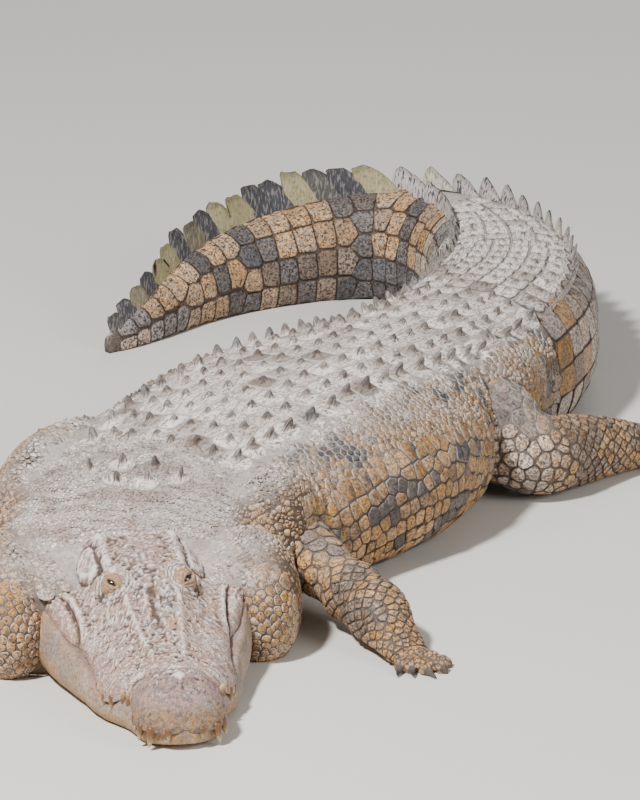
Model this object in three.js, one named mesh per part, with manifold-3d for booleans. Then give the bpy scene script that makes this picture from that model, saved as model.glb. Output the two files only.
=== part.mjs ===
// A saltwater crocodile at rest, life size. Millimetres, +Z up, belly on the plane Z = 0.
// The snout points towards -Y, the animal's left side is +X, and the tail curls round behind it.
import * as THREE from 'three';
import { mergeVertices } from 'three/addons/utils/BufferGeometryUtils.js';
import Module from 'manifold-3d';

const wasm = await Module();
wasm.setup();

// ---- driving dimensions -------------------------------------------------------------------

const GAP = 0.4;            // clear space between two neighbouring pieces
const HEAD_END = 575;       // distance from the snout to the back of the skull, along the midline
const TRUNK_START = 950;    // where the neck meets the trunk
const VENT = 2150;          // where the trunk meets the tail
const WIDEST = 0.42;        // height of the widest level of a body section, as a share of its top
const BELLY_DROP = 1.25;    // how far the lower half of a section would reach below the floor
const BELLY_POWER = 2.7;    // squareness of the lower half

// midline of the whole animal: distance from the snout, direction of the line (degrees from +Y
// towards +X), half width, top height and squareness of the upper half of the section
const STATIONS = [
  [0, -11.2, 60, 60, 2.4],
  [575, -11.2, 262, 240, 2.2],
  [640, -6, 322, 256, 2.1],
  [780, 9, 338, 296, 2.0],
  [950, 27, 332, 326, 2.0],
  [1150, 36, 356, 355, 2.1],
  [1450, 36, 386, 374, 2.15],
  [1700, 33, 328, 368, 2.15],
  [1880, 30, 250, 360, 2.2],
  [2050, 27, 236, 350, 2.3],
  [2300, 19, 230, 332, 2.6],
  [2600, 5, 202, 308, 3.0],
  [2900, -10, 170, 287, 2.8],
  [3120, -27, 142, 271, 2.5],
  [3320, -62, 120, 254, 2.2],
  [3480, -100, 105, 236, 2.0],
  [3650, -118, 92, 218, 2.0],
  [3870, -138, 73, 186, 2.0],
  [4050, -148, 50, 132, 2.0],
  [4250, -134, 15, 44, 2.0],
];

// head, by distance back from the snout: half width of the upper jaw, half width of the lower
// jaw, height of the mouth line, height of the cheek dome, height of the midline, half width of
// the raised middle strip
const HEAD = [
  [-22, 34, 20, 36, 62, 62, 40],
  [-8, 66, 46, 38, 92, 92, 50],
  [14, 84, 66, 39, 112, 116, 56],
  [44, 92, 82, 42, 122, 130, 58],
  [78, 90, 92, 56, 120, 132, 56],
  [104, 92, 102, 68, 112, 124, 52],
  [132, 114, 118, 56, 116, 124, 50],
  [164, 132, 136, 50, 122, 130, 52],
  [210, 142, 154, 66, 130, 138, 56],
  [262, 148, 168, 88, 140, 152, 62],
  [312, 158, 184, 96, 152, 172, 72],
  [352, 169, 198, 108, 164, 196, 82],
  [392, 180, 209, 124, 176, 216, 88],
  [430, 192, 218, 138, 184, 230, 91],
  [480, 206, 226, 142, 190, 241, 94],
  [530, 214, 229, 132, 196, 246, 98],
  [575, 217, 230, 124, 202, 245, 104],
];
const HEAD_POWER = 2.5;             // squareness of the upper jaw in cross section
const EYE = { back: 392, side: 71, height: 202, radius: 21 };
// swellings on the head: distance back, side, height, and half lengths along and across
const SWELLINGS = [
  { back: 70, side: 0, rise: 9, length: 30, width: 30 },      // nostrils
  { back: 390, side: 66, rise: 15, length: 38, width: 22 },   // brow
  { back: 500, side: 90, rise: 7, length: 70, width: 13 },    // edge of the skull table
  { back: 300, side: 40, rise: 6, length: 60, width: 16 },    // ridge in front of the eye
];
const JOWL = { back: 590, height: 88, size: [184, 102, 150] };
const JOWL_SIDES = [244, -270];     // the head is turned a little away from its right lobe

// upper teeth that show outside the lower jaw, and lower teeth in the notches:
// distance back from the snout and length
const UPPER_TEETH = [[2, 24], [30, 34], [60, 26], [146, 26], [172, 30], [204, 22], [240, 16]];
const LOWER_TEETH = [[102, 30], [296, 12]];
const TOOTH_RADIUS = 7;
const TOOTH_TIP = 1.2;              // radius at the tip
const TOOTH_ROOT = 8;               // how deep a tooth is set into its jaw
const TOOTH_SIDES = 4;

// crests of the tail: paired blades as far as the place where they meet, then single blades
const CREST_START = 2176;
const CREST_MEET = 3346;
const CREST_END = 4216;
const PAIRED_BLADES = 18;
const SINGLE_BLADES = 17;
const BLADE_THICKNESS = 7;

// ---- curves through the tables ------------------------------------------------------------

// monotone cubic through (x, y) pairs, so that no value between two stations overshoots them
function smoothCurve(xs, ys) {
  const count = xs.length;
  const step = xs.slice(1).map((x, i) => x - xs[i]);
  const slope = step.map((h, i) => (ys[i + 1] - ys[i]) / h);
  const tangent = ys.map((_, i) => {
    if (i === 0) return slope[0];
    if (i === count - 1) return slope[count - 2];
    if (slope[i - 1] * slope[i] <= 0) return 0;
    const before = 2 * step[i] + step[i - 1];
    const after = step[i] + 2 * step[i - 1];
    return (before + after) / (before / slope[i - 1] + after / slope[i]);
  });
  return (x) => {
    let i = 0;
    while (i < count - 2 && x > xs[i + 1]) i += 1;
    const h = step[i];
    const t = (x - xs[i]) / h;
    const start = (1 + 2 * t) * (1 - t) ** 2 * ys[i] + t * (1 - t) ** 2 * h * tangent[i];
    const end = t * t * (3 - 2 * t) * ys[i + 1] + t * t * (t - 1) * h * tangent[i + 1];
    return start + end;
  };
}

const column = (table, index) => smoothCurve(table.map((row) => row[0]), table.map((row) => row[index]));
const headingAt = column(STATIONS, 1);
const halfWidthAt = column(STATIONS, 2);
const topAt = column(STATIONS, 3);
const powerAt = column(STATIONS, 4);
const upperJawAt = column(HEAD, 1);
const lowerJawAt = column(HEAD, 2);
const mouthAt = column(HEAD, 3);
const cheekAt = column(HEAD, 4);
const crownAt = column(HEAD, 5);
const stripAt = column(HEAD, 6);

// the midline on the floor, walked in short steps
const WALK_STEP = 2;
const MIDLINE = [[0, 0]];
for (let s = 0; s < STATIONS.at(-1)[0]; s += WALK_STEP) {
  const turn = THREE.MathUtils.degToRad(headingAt(s + WALK_STEP / 2));
  const [x, y] = MIDLINE.at(-1);
  MIDLINE.push([x + WALK_STEP * Math.sin(turn), y + WALK_STEP * Math.cos(turn)]);
}

// the frame at a distance s: a point on the midline and the direction of the animal's left
function frameAt(s) {
  const turn = THREE.MathUtils.degToRad(headingAt(Math.max(s, 0)));
  const along = new THREE.Vector3(Math.sin(turn), Math.cos(turn), 0);
  const left = new THREE.Vector3(Math.cos(turn), -Math.sin(turn), 0);
  if (s < 0) return { point: along.clone().multiplyScalar(s), along, left };
  const place = s / WALK_STEP;
  const i = Math.min(Math.floor(place), MIDLINE.length - 2);
  const share = place - i;
  const x = MIDLINE[i][0] * (1 - share) + MIDLINE[i + 1][0] * share;
  const y = MIDLINE[i][1] * (1 - share) + MIDLINE[i + 1][1] * share;
  return { point: new THREE.Vector3(x, y, 0), along, left };
}

function bodyPoint(s, side, height) {
  const { point, left } = frameAt(s);
  return point.addScaledVector(left, side).add(new THREE.Vector3(0, 0, height));
}

// ---- closed meshes and cuts ---------------------------------------------------------------

// closed mesh through a row of rings with equal point counts; the ends are fans, round a middle
// point or, on small convex rings, round their first point
function loft(rings, plainEnds = false) {
  const sides = rings[0].length;
  const positions = rings.flat().flatMap((p) => [p.x, p.y, p.z]);
  const faces = [];
  for (let i = 0; i < rings.length - 1; i += 1) {
    for (let j = 0; j < sides; j += 1) {
      const a = i * sides + j;
      const b = i * sides + ((j + 1) % sides);
      faces.push(a, b, a + sides, b, b + sides, a + sides);
    }
  }
  for (const end of [0, rings.length - 1]) {
    if (plainEnds) {
      for (let j = 1; j < sides - 1; j += 1) {
        const corners = [end * sides, end * sides + j, end * sides + j + 1];
        faces.push(...(end === 0 ? corners.reverse() : corners));
      }
      continue;
    }
    const centre = rings[end].reduce((sum, p) => sum.add(p), new THREE.Vector3()).divideScalar(sides);
    const hub = positions.length / 3;
    positions.push(centre.x, centre.y, centre.z);
    for (let j = 0; j < sides; j += 1) {
      const a = end * sides + j;
      const b = end * sides + ((j + 1) % sides);
      if (end === 0) faces.push(hub, b, a);
      else faces.push(hub, a, b);
    }
  }
  const geometry = new THREE.BufferGeometry();
  geometry.setAttribute('position', new THREE.Float32BufferAttribute(positions, 3));
  geometry.setIndex(faces);
  return geometry;
}

function solid(geometry) {
  const bare = geometry.clone();
  bare.deleteAttribute('normal');
  bare.deleteAttribute('uv');
  const merged = mergeVertices(bare, 1e-4);
  const vertProperties = new Float32Array(merged.attributes.position.array);
  const triVerts = new Uint32Array(merged.index.array);
  const shape = new wasm.Manifold(new wasm.Mesh({ numProp: 3, vertProperties, triVerts }));
  return shape.volume() < 0 ? new wasm.Manifold(flipped(vertProperties, triVerts)) : shape;
}

function flipped(vertProperties, triVerts) {
  const turned = triVerts.slice();
  for (let i = 0; i < turned.length; i += 3) [turned[i], turned[i + 1]] = [turned[i + 1], turned[i]];
  return new wasm.Mesh({ numProp: 3, vertProperties, triVerts: turned });
}

function geometryOf(shape) {
  const { vertProperties, triVerts } = shape.getMesh();
  const geometry = new THREE.BufferGeometry();
  geometry.setAttribute('position', new THREE.BufferAttribute(new Float32Array(vertProperties), 3));
  geometry.setIndex(Array.from(triVerts));
  return geometry;
}

const joined = (shapes) => shapes.reduce((sum, shape) => sum.add(shape));

// ---- body ---------------------------------------------------------------------------------

const BODY_SIDES = 16;
const RING_SPACING = { neck: 90, trunk: 105, tail: 70 };

// height of the upper surface of the body at a sideways distance from the midline
function backHeight(s, side) {
  const middle = WIDEST * topAt(s);
  const reach = Math.max(0, 1 - Math.abs(side / halfWidthAt(s)) ** powerAt(s));
  return middle + (topAt(s) - middle) * reach ** (1 / powerAt(s));
}

function bodyRing(s, grow) {
  const middle = WIDEST * topAt(s);
  return Array.from({ length: BODY_SIDES }, (_, i) => {
    const angle = (i / BODY_SIDES) * 2 * Math.PI;
    const up = Math.cos(angle);
    const power = up > 0 ? powerAt(s) : BELLY_POWER;
    const across = Math.sin(angle);
    const side = (halfWidthAt(s) + grow) * Math.sign(across) * Math.abs(across) ** (2 / power);
    const climb = Math.abs(up) ** (2 / power);
    const height = up > 0 ? middle + (topAt(s) + grow - middle) * climb : middle * (1 - BELLY_DROP * climb);
    return bodyPoint(s, side, Math.max(height, -grow));
  });
}

// a length of the body; grown bodies are used only to clear space in a neighbour
function bodyLength(start, end, ringSpacing, grow = 0) {
  const steps = Math.ceil((end - start) / ringSpacing);
  const stops = Array.from({ length: steps + 1 }, (_, i) => start + ((end - start) * i) / steps);
  return solid(loft(stops.map((s) => bodyRing(s, grow))));
}

// ---- head ---------------------------------------------------------------------------------

const HEAD_STOPS = HEAD.map((row) => row[0]);
const CROWN_SHARES = [1, 0.985, 0.92, 0.78, 0.6, 0.44, 0.3, 0.15];

function headHeight(back, side) {
  const reach = Math.max(0, 1 - Math.abs(side / upperJawAt(back)) ** HEAD_POWER) ** (1 / HEAD_POWER);
  const strip = 1 - THREE.MathUtils.smoothstep(Math.abs(side) / stripAt(back), 0.75, 1.5);
  const swelling = SWELLINGS.reduce((sum, bump) => {
    const along = (back - bump.back) / bump.length;
    const across = (Math.abs(side) - bump.side) / bump.width;
    return sum + bump.rise * Math.exp(-along * along - across * across);
  }, 0);
  const dome = (cheekAt(back) - mouthAt(back)) * reach;
  return mouthAt(back) + dome + (crownAt(back) - cheekAt(back)) * strip + swelling * reach;
}

// upper jaw and skull: the roof from the left lip over to the right lip, closed along the mouth line
function upperJawRing(back, grow) {
  const shares = [...CROWN_SHARES, 0, ...CROWN_SHARES.map((share) => -share).reverse()];
  const floor = mouthAt(back) + GAP / 2 - 2 * grow;
  const roof = shares.map((share, i) => {
    const lip = i === 0 || i === shares.length - 1;
    const height = lip ? floor : Math.max(headHeight(back, share * upperJawAt(back)) + grow, floor);
    return bodyPoint(back, share * (upperJawAt(back) + grow), height);
  });
  return [...roof, bodyPoint(back, 0, floor)];
}

// lower jaw: flat along the mouth line, swelling below the lip, flat where it lies on the floor
const JAW_SHARES = [[0.93, 1], [0.985, 0.72], [1, 0.42], [0.95, 0.17], [0.84, 0.03], [0.7, 0]];
const CHIN = { back: 30, rise: 14 };    // the jaw comes down to the floor this far back

function lowerJawRing(back, grow) {
  const roof = mouthAt(back) - GAP / 2 + 2 * grow;
  const forward = THREE.MathUtils.inverseLerp(CHIN.back, HEAD_STOPS[0], back);
  const chin = CHIN.rise * THREE.MathUtils.clamp(forward, 0, 1);
  const half = JAW_SHARES.map(([share, level]) => ({
    side: share * (lowerJawAt(back) + grow),
    height: Math.max(chin + (roof - chin) * level, -grow) - (level === 0 ? grow : 0),
  }));
  const left = half.map(({ side, height }) => bodyPoint(back, side, height));
  const right = half.map(({ side, height }) => bodyPoint(back, -side, height)).reverse();
  return [...left, ...right, bodyPoint(back, 0, roof)];
}

function headLoft(ring, stops = HEAD_STOPS, grow = 0) {
  return solid(loft(stops.map((back) => ring(back, grow))));
}

// a tooth is a slender pyramid whose root is buried in the jaw
function tooth(back, side, root, length, grow) {
  const base = bodyPoint(back, side, root);
  const tip = bodyPoint(back + 3, side * 1.015, root - length);
  const radius = TOOTH_RADIUS + grow;
  const ring = (centre, size) => Array.from({ length: TOOTH_SIDES }, (_, i) => {
    const angle = (i / TOOTH_SIDES) * 2 * Math.PI;
    return centre.clone().add(new THREE.Vector3(size * Math.cos(angle), size * Math.sin(angle), 0));
  });
  const end = tip.clone().lerp(base, -2 * grow / Math.abs(length));
  return solid(loft([ring(base, radius), ring(end, TOOTH_TIP + grow)], true));
}

const bothSides = (make) => [1, -1].map(make);

function upperTeeth(grow = 0) {
  const place = ([back, length]) => bothSides((side) => {
    const outer = upperJawAt(back) - TOOTH_RADIUS + 1;
    return tooth(back, side * outer, mouthAt(back) + TOOTH_ROOT, length + TOOTH_ROOT, grow);
  });
  return joined(UPPER_TEETH.flatMap(place));
}

function lowerTeeth(grow = 0) {
  const place = ([back, length]) => bothSides((side) => {
    const outer = JAW_SHARES[0][0] * lowerJawAt(back) - TOOTH_RADIUS + 2;
    return tooth(back, side * outer, mouthAt(back) - TOOTH_ROOT, -length - TOOTH_ROOT, grow);
  });
  return joined(LOWER_TEETH.flatMap(place));
}

const eyeCentre = (side) => bodyPoint(EYE.back, side * EYE.side, EYE.height);

function eyeBall(side, radius) {
  const centre = eyeCentre(side);
  return solid(new THREE.SphereGeometry(radius, 9, 6).translate(centre.x, centre.y, centre.z));
}

// ---- neck, trunk and tail -----------------------------------------------------------------

const UNDERGROUND = solid(new THREE.BoxGeometry(6000, 8000, 600).translate(0, 1500, -300));

// the heavy lobes of muscle behind the corners of the jaws
function jowl(offset, grow) {
  const { point, along, left } = frameAt(JOWL.back);
  const [length, width, height] = JOWL.size.map((size) => size + grow);
  const turn = new THREE.Matrix4().makeBasis(left, along, new THREE.Vector3(0, 0, 1));
  const centre = point.addScaledVector(left, offset);
  const lobe = new THREE.SphereGeometry(1, 12, 8).scale(width, length, height).applyMatrix4(turn);
  return solid(lobe.translate(centre.x, centre.y, JOWL.height)).subtract(UNDERGROUND);
}

function neckSolid(grow) {
  const tube = bodyLength(HEAD_END + GAP, TRUNK_START - GAP / 2 + 2 * grow, RING_SPACING.neck, grow);
  return joined([tube, ...JOWL_SIDES.map((offset) => jowl(offset, grow))]);
}

// ---- crests -------------------------------------------------------------------------------

const crestSpread = smoothCurve([2150, 2400, 2700, 2900, 3120, 3350], [176, 160, 130, 103, 64, 9]);
const PAIRED_PITCH = (CREST_MEET - CREST_START) / PAIRED_BLADES;
const PAIRED_RISE = [16, 62];       // first and last height of the paired blades
const PAIRED_LEAN = 0.45;           // outward lean, as a share of the height
const SINGLE_RISE = smoothCurve([0, 3, 8, 13, 17], [74, 84, 84, 68, 34]);
const SINGLE_FIRST_PITCH = 1.28;    // first pitch of the single blades over their mean pitch
const BLADE_ROOT = 14;              // how deep a blade is set into the tail
const BLADE_CLEAR = [2, 3];         // clear space in front of a blade and behind it
const SWEEP = { paired: 0.16, single: 0.42 };   // lean towards the tip, as a share of the length

// a blade stands on the body between two distances; its outline leans towards the tail tip
function blade(start, end, side, rise, lean, sweep) {
  const length = end - start;
  const outline = [
    [0, -BLADE_ROOT],
    [1, -BLADE_ROOT],
    [1 + sweep, 1],
    [0.5 + sweep, 0.97],
    [0.08 + 0.6 * sweep, 0.5],
  ];
  const face = (offset) => outline.map(([share, climb]) => {
    const s = start + share * length;
    const height = climb < 0 ? climb : climb * rise;
    const foot = backHeight(s, side);
    const thin = climb > 0.9 ? 0.5 : 1;
    return bodyPoint(s, side + Math.max(height, 0) * lean + offset * thin, foot + height);
  });
  return solid(loft([face(-BLADE_THICKNESS / 2), face(BLADE_THICKNESS / 2)], true));
}

function pairedBlades() {
  return Array.from({ length: PAIRED_BLADES }, (_, i) => {
    const start = CREST_START + i * PAIRED_PITCH;
    const grown = i / (PAIRED_BLADES - 1);
    const rise = PAIRED_RISE[0] + (PAIRED_RISE[1] - PAIRED_RISE[0]) * grown;
    const spread = crestSpread(start + PAIRED_PITCH / 2);
    const last = i === PAIRED_BLADES - 1;
    return (last ? [1] : [1, -1]).map((side) => ({
      start,
      shape: () => blade(
        start + BLADE_CLEAR[0], start + PAIRED_PITCH - BLADE_CLEAR[1], side * spread,
        rise, side * PAIRED_LEAN * (1 - grown), SWEEP.paired,
      ),
    }));
  }).flat();
}

const singleStart = (i) => {
  const share = i / SINGLE_BLADES;
  const eased = share * (SINGLE_FIRST_PITCH + (1 - SINGLE_FIRST_PITCH) * share);
  return CREST_MEET + (CREST_END - CREST_MEET) * eased;
};

function singleBlades() {
  return Array.from({ length: SINGLE_BLADES }, (_, i) => {
    const start = singleStart(i);
    const end = singleStart(i + 1);
    const shape = () => {
      return blade(start + BLADE_CLEAR[0], end - BLADE_CLEAR[1], 0, SINGLE_RISE(i), 0, SWEEP.single);
    };
    return { start, shape };
  });
}

// the tail is parted between two blades: after eight pairs, where the rows meet, and half way on
const TAIL_PARTINGS = [
  VENT,
  CREST_START + 8 * PAIRED_PITCH,
  CREST_MEET,
  singleStart(8),
  STATIONS.at(-1)[0],
];

function tailLength(i) {
  const [from, to] = [TAIL_PARTINGS[i], TAIL_PARTINGS[i + 1]];
  const start = from + GAP / 2;
  const end = i === TAIL_PARTINGS.length - 2 ? to : to - GAP / 2;
  const blades = [...pairedBlades(), ...singleBlades()].filter(
    (each) => each.start >= from - 1 && each.start < to - 1,
  );
  return joined([bodyLength(start, end, RING_SPACING.tail), ...blades.map((each) => each.shape())]);
}

// ---- legs ---------------------------------------------------------------------------------

// each row: place of a joint or of the middle of a limb, half width, half height
const LEGS = {
  front_left: {
    side: 1,
    path: [
      [190, 860, 150, 72, 72], [262, 762, 112, 62, 62], [332, 664, 86, 60, 60],
      [382, 576, 72, 64, 62], [416, 512, 46, 52, 42], [440, 476, 25, 50, 25],
    ],
    toes: { count: 5, axis: -60, fan: 21, lengths: [62, 66, 86, 100, 92], width: 12 },
  },
  front_right: {
    side: -1,
    path: [
      [-215, 1070, 130, 72, 72], [-330, 1080, 98, 62, 62], [-452, 1046, 86, 60, 60],
      [-500, 960, 72, 64, 62], [-532, 896, 46, 52, 42], [-552, 860, 25, 50, 25],
    ],
    toes: { count: 5, axis: -112, fan: 21, lengths: [62, 66, 86, 100, 92], width: 12 },
  },
  hind_left: {
    side: 1,
    path: [
      [490, 1700, 170, 118, 112], [632, 1562, 142, 108, 116], [732, 1518, 98, 84, 86],
      [842, 1626, 74, 72, 74], [966, 1716, 50, 50, 48], [1066, 1762, 24, 52, 24],
    ],
    toes: { count: 4, axis: 25, fan: 17, lengths: [118, 134, 138, 128], width: 15 },
  },
  hind_right: {
    side: -1,
    path: [
      [345, 1885, 170, 118, 112], [215, 1900, 134, 100, 104], [98, 1912, 98, 80, 82],
      [70, 2012, 74, 70, 72], [68, 2106, 50, 48, 46], [-14, 2140, 24, 52, 24],
    ],
    toes: { count: 4, axis: 182, fan: 17, lengths: [118, 134, 138, 128], width: 15 },
  },
};
const LIMB_SIDES = 10;
const JOINT_ROWS = [0, 2, 4];       // rows where upper limb, lower limb and foot begin
const CLAWED_TOES = 3;
const CLAW = { length: 32, radius: 7.5, height: 8, drop: 5 };
const CLAW_STOPS = [[0, 1], [0.55, 0.66], [1, 0.12]];   // share of the length and of the radius
const TOE_SIDES = 6;
const CLAW_SIDES = 6;

// ring across a path; what would reach below the floor lies flat on it
function limbRing(centre, ahead, halfWidth, halfHeight, sides) {
  const across = new THREE.Vector3(ahead.y, -ahead.x, 0).normalize();
  const over = new THREE.Vector3().crossVectors(across, ahead).normalize();
  return Array.from({ length: sides }, (_, i) => {
    const angle = (i / sides) * 2 * Math.PI;
    const point = centre.clone().addScaledVector(across, halfWidth * Math.sin(angle));
    point.addScaledVector(over, halfHeight * Math.cos(angle));
    point.z = Math.max(point.z, 0);
    return point;
  });
}

function limbLength(path, from, to, steps) {
  const last = path.length - 1;
  const curve = new THREE.CatmullRomCurve3(path.map(([x, y, z]) => new THREE.Vector3(x, y, z)));
  const rows = path.map((_, i) => i);
  const widthAt = smoothCurve(rows, path.map((row) => row[3]));
  const heightAt = smoothCurve(rows, path.map((row) => row[4]));
  const rings = Array.from({ length: steps + 1 }, (_, i) => {
    const row = from + ((to - from) * i) / steps;
    const ahead = curve.getTangent(row / last);
    const centre = curve.getPoint(row / last);
    if (i === 0 && from > 0) centre.addScaledVector(ahead, GAP / 2);
    if (i === steps && to < last) centre.addScaledVector(ahead, -GAP / 2);
    return limbRing(centre, ahead, widthAt(row), heightAt(row), LIMB_SIDES);
  });
  return solid(loft(rings));
}

// the line of one toe: where it starts under the foot and the direction it points
function toeLine(leg, index) {
  const { count, axis, fan, lengths } = leg.toes;
  const [x, y] = leg.path.at(-1);
  const turn = THREE.MathUtils.degToRad(axis + leg.side * fan * (index - (count - 1) / 2));
  const ahead = new THREE.Vector3(Math.cos(turn), Math.sin(turn), 0);
  return { root: new THREE.Vector3(x, y, 0), ahead, length: lengths[index] };
}

// share of the length, share of the width, half height
const TOE_STOPS = [[0, 1.1, 22], [0.7, 1.08, 14], [1, 0.66, 8.5]];

function toe(leg, index) {
  const { root, ahead, length } = toeLine(leg, index);
  return solid(loft(TOE_STOPS.map(([share, girth, halfHeight]) => {
    const centre = root.clone().addScaledVector(ahead, share * length);
    centre.z = halfHeight - 0.5;
    return limbRing(centre, ahead, leg.toes.width * girth, halfHeight, TOE_SIDES);
  })));
}

function foot(leg) {
  const sole = limbLength(leg.path, JOINT_ROWS[2], leg.path.length - 1, 3);
  const toes = Array.from({ length: leg.toes.count }, (_, i) => toe(leg, i));
  return joined([sole, ...toes]);
}

function claw(leg, index) {
  const { root, ahead, length } = toeLine(leg, index);
  return solid(loft(CLAW_STOPS.map(([share, size]) => {
    const centre = root.clone().addScaledVector(ahead, length + GAP + share * CLAW.length);
    centre.z = CLAW.height - CLAW.drop * share * share;
    return limbRing(centre, ahead, CLAW.radius * size, CLAW.radius * size, CLAW_SIDES);
  }), true));
}

// ---- assembly -----------------------------------------------------------------------------

const HIDE = new THREE.MeshStandardMaterial({ color: 0x9a8f7c, roughness: 0.8, metalness: 0 });
const FLANK = new THREE.MeshStandardMaterial({ color: 0x94774f, roughness: 0.8, metalness: 0 });
const HORN = new THREE.MeshStandardMaterial({ color: 0x3b3a3a, roughness: 0.5, metalness: 0 });
const EYE_GLASS = new THREE.MeshStandardMaterial({ color: 0x6b5a2c, roughness: 0.15, metalness: 0 });

const crocodile = new THREE.Group();

function place(name, shape, material) {
  const mesh = new THREE.Mesh(geometryOf(shape), material);
  mesh.name = name;
  crocodile.add(mesh);
}

const skull = headLoft(upperJawRing).subtract(lowerTeeth(GAP));
const sockets = joined(bothSides((side) => eyeBall(side, EYE.radius + GAP)));
place('head', skull.subtract(sockets).add(upperTeeth()), HIDE);
place('lower_jaw', headLoft(lowerJawRing).subtract(upperTeeth(GAP)).add(lowerTeeth()), HIDE);
place('eye_left', eyeBall(1, EYE.radius), EYE_GLASS);
place('eye_right', eyeBall(-1, EYE.radius), EYE_GLASS);

// the room that the back of the head takes up between the lobes of the neck
const LOBES_START = 340;            // no lobe of the neck reaches further forward than this
const HEAD_BACK = [...HEAD_STOPS.filter((back) => back > LOBES_START), HEAD_END + GAP];
const headSpace = joined([upperJawRing, lowerJawRing].map((ring) => headLoft(ring, HEAD_BACK, GAP)));
place('neck', neckSolid(0).subtract(headSpace), HIDE);
place('trunk', bodyLength(TRUNK_START + GAP / 2, VENT - GAP / 2, RING_SPACING.trunk), FLANK);
for (let i = 0; i < TAIL_PARTINGS.length - 1; i += 1) place(`tail_${i + 1}`, tailLength(i), FLANK);

const bodySpace = bodyLength(TRUNK_START - GAP, VENT + GAP, RING_SPACING.trunk, GAP).add(neckSolid(GAP));
const tailSpace = bodyLength(VENT, TAIL_PARTINGS[1], RING_SPACING.tail, GAP);
for (const [name, leg] of Object.entries(LEGS)) {
  const [first, middle, last] = JOINT_ROWS;
  const upper = limbLength(leg.path, first, middle, 3).subtract(bodySpace).subtract(tailSpace);
  place(`${name}_upper`, upper, FLANK);
  place(`${name}_lower`, limbLength(leg.path, middle, last, 4), FLANK);
  place(`${name}_foot`, foot(leg), FLANK);
  for (let i = 0; i < CLAWED_TOES; i += 1) place(`${name}_claw_${i + 1}`, claw(leg, i), HORN);
}

// the origin is under the middle of the whole animal
const box = new THREE.Box3().setFromObject(crocodile);
const middle = box.getCenter(new THREE.Vector3());
for (const mesh of crocodile.children) mesh.geometry.translate(-middle.x, -middle.y, -box.min.z);

export default crocodile;
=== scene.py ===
"""A saltwater crocodile at rest, life size: its hide, scales, crests, claws, teeth and eyes.

The hide is one skin, worked out from the same midline, sections and legs as the solids. The scales are solid
plates that stand on it: each is the patch of hide that lies nearer to its own seed than to any other.
"""

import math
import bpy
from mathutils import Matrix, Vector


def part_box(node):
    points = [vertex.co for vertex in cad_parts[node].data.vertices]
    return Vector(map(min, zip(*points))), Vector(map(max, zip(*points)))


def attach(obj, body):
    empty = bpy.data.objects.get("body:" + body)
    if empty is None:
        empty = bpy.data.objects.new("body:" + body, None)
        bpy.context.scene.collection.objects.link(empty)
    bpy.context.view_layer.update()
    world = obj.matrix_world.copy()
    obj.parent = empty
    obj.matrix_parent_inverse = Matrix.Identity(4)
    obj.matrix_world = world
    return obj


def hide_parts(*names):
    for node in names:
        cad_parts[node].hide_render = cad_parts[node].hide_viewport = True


bl_info = {
    "name": "Saltwater crocodile",
    "version": (1, 0, 0),
    "blender": (4, 5, 0),
    "location": "View3D > Sidebar > Crocodile",
    "description": "Builds the hide, scales, crests, claws, teeth and eyes of a resting crocodile",
    "category": "Add Mesh",
}

import bpy
import numpy as np

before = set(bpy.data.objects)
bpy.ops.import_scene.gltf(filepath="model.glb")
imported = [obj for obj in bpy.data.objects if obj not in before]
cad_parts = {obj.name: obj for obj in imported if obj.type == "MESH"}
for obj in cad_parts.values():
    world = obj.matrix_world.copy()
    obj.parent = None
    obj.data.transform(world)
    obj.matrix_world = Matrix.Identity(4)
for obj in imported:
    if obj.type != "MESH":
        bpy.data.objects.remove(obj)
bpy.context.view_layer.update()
MM = 0.001

# ---- sizes of the solids, millimetres -----------------------------------------------------

# midline: distance from the snout, direction (degrees from +Y towards +X), half width, top
# height and squareness of the upper half of the section
STATIONS = (
    (0, -11.2, 60, 60, 2.4), (575, -11.2, 262, 240, 2.2), (640, -6, 322, 256, 2.1),
    (780, 9, 338, 296, 2.0), (950, 27, 332, 326, 2.0), (1150, 36, 356, 355, 2.1),
    (1450, 36, 386, 374, 2.15), (1700, 33, 328, 368, 2.15), (1880, 30, 250, 360, 2.2),
    (2050, 27, 236, 350, 2.3), (2300, 19, 230, 332, 2.6), (2600, 5, 202, 308, 3.0),
    (2900, -10, 170, 287, 2.8), (3120, -27, 142, 271, 2.5), (3320, -62, 120, 254, 2.2),
    (3480, -100, 105, 236, 2.0), (3650, -118, 92, 218, 2.0), (3870, -138, 73, 186, 2.0),
    (4050, -148, 50, 132, 2.0), (4250, -134, 15, 44, 2.0),
)
WIDEST = 0.42
BELLY_DROP = 1.25
BELLY_POWER = 2.7

# head: distance back from the snout, half width of the upper jaw, half width of the lower jaw,
# heights of mouth line, cheek dome and midline, half width of the raised middle strip
HEAD = (
    (-27, 0, 0, 46, 46, 46, 36), (-22, 34, 20, 36, 62, 62, 40), (-8, 66, 46, 38, 92, 92, 50),
    (14, 84, 66, 39, 112, 116, 56), (44, 92, 82, 42, 122, 130, 58), (78, 90, 92, 56, 120, 132, 56),
    (104, 92, 102, 68, 112, 124, 52), (132, 114, 118, 56, 116, 124, 50),
    (164, 132, 136, 50, 122, 130, 52), (210, 138, 154, 66, 130, 138, 56),
    (262, 140, 168, 88, 140, 152, 62), (312, 148, 184, 96, 152, 172, 72),
    (352, 172, 198, 108, 164, 196, 82), (392, 186, 209, 124, 176, 216, 88),
    (430, 198, 218, 138, 184, 230, 91), (480, 206, 226, 142, 190, 241, 94),
    (530, 214, 229, 132, 196, 246, 98), (575, 217, 230, 124, 202, 243, 102),
    (598, 206, 216, 120, 186, 222, 98), (612, 180, 190, 110, 160, 190, 90),
)
HEAD_POWER = 2.5
HEAD_TURN = math.radians(-11.2)
EYE_BACK, EYE_SIDE, EYE_HEIGHT, EYE_RADIUS = 392, 71, 202, 21
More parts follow.
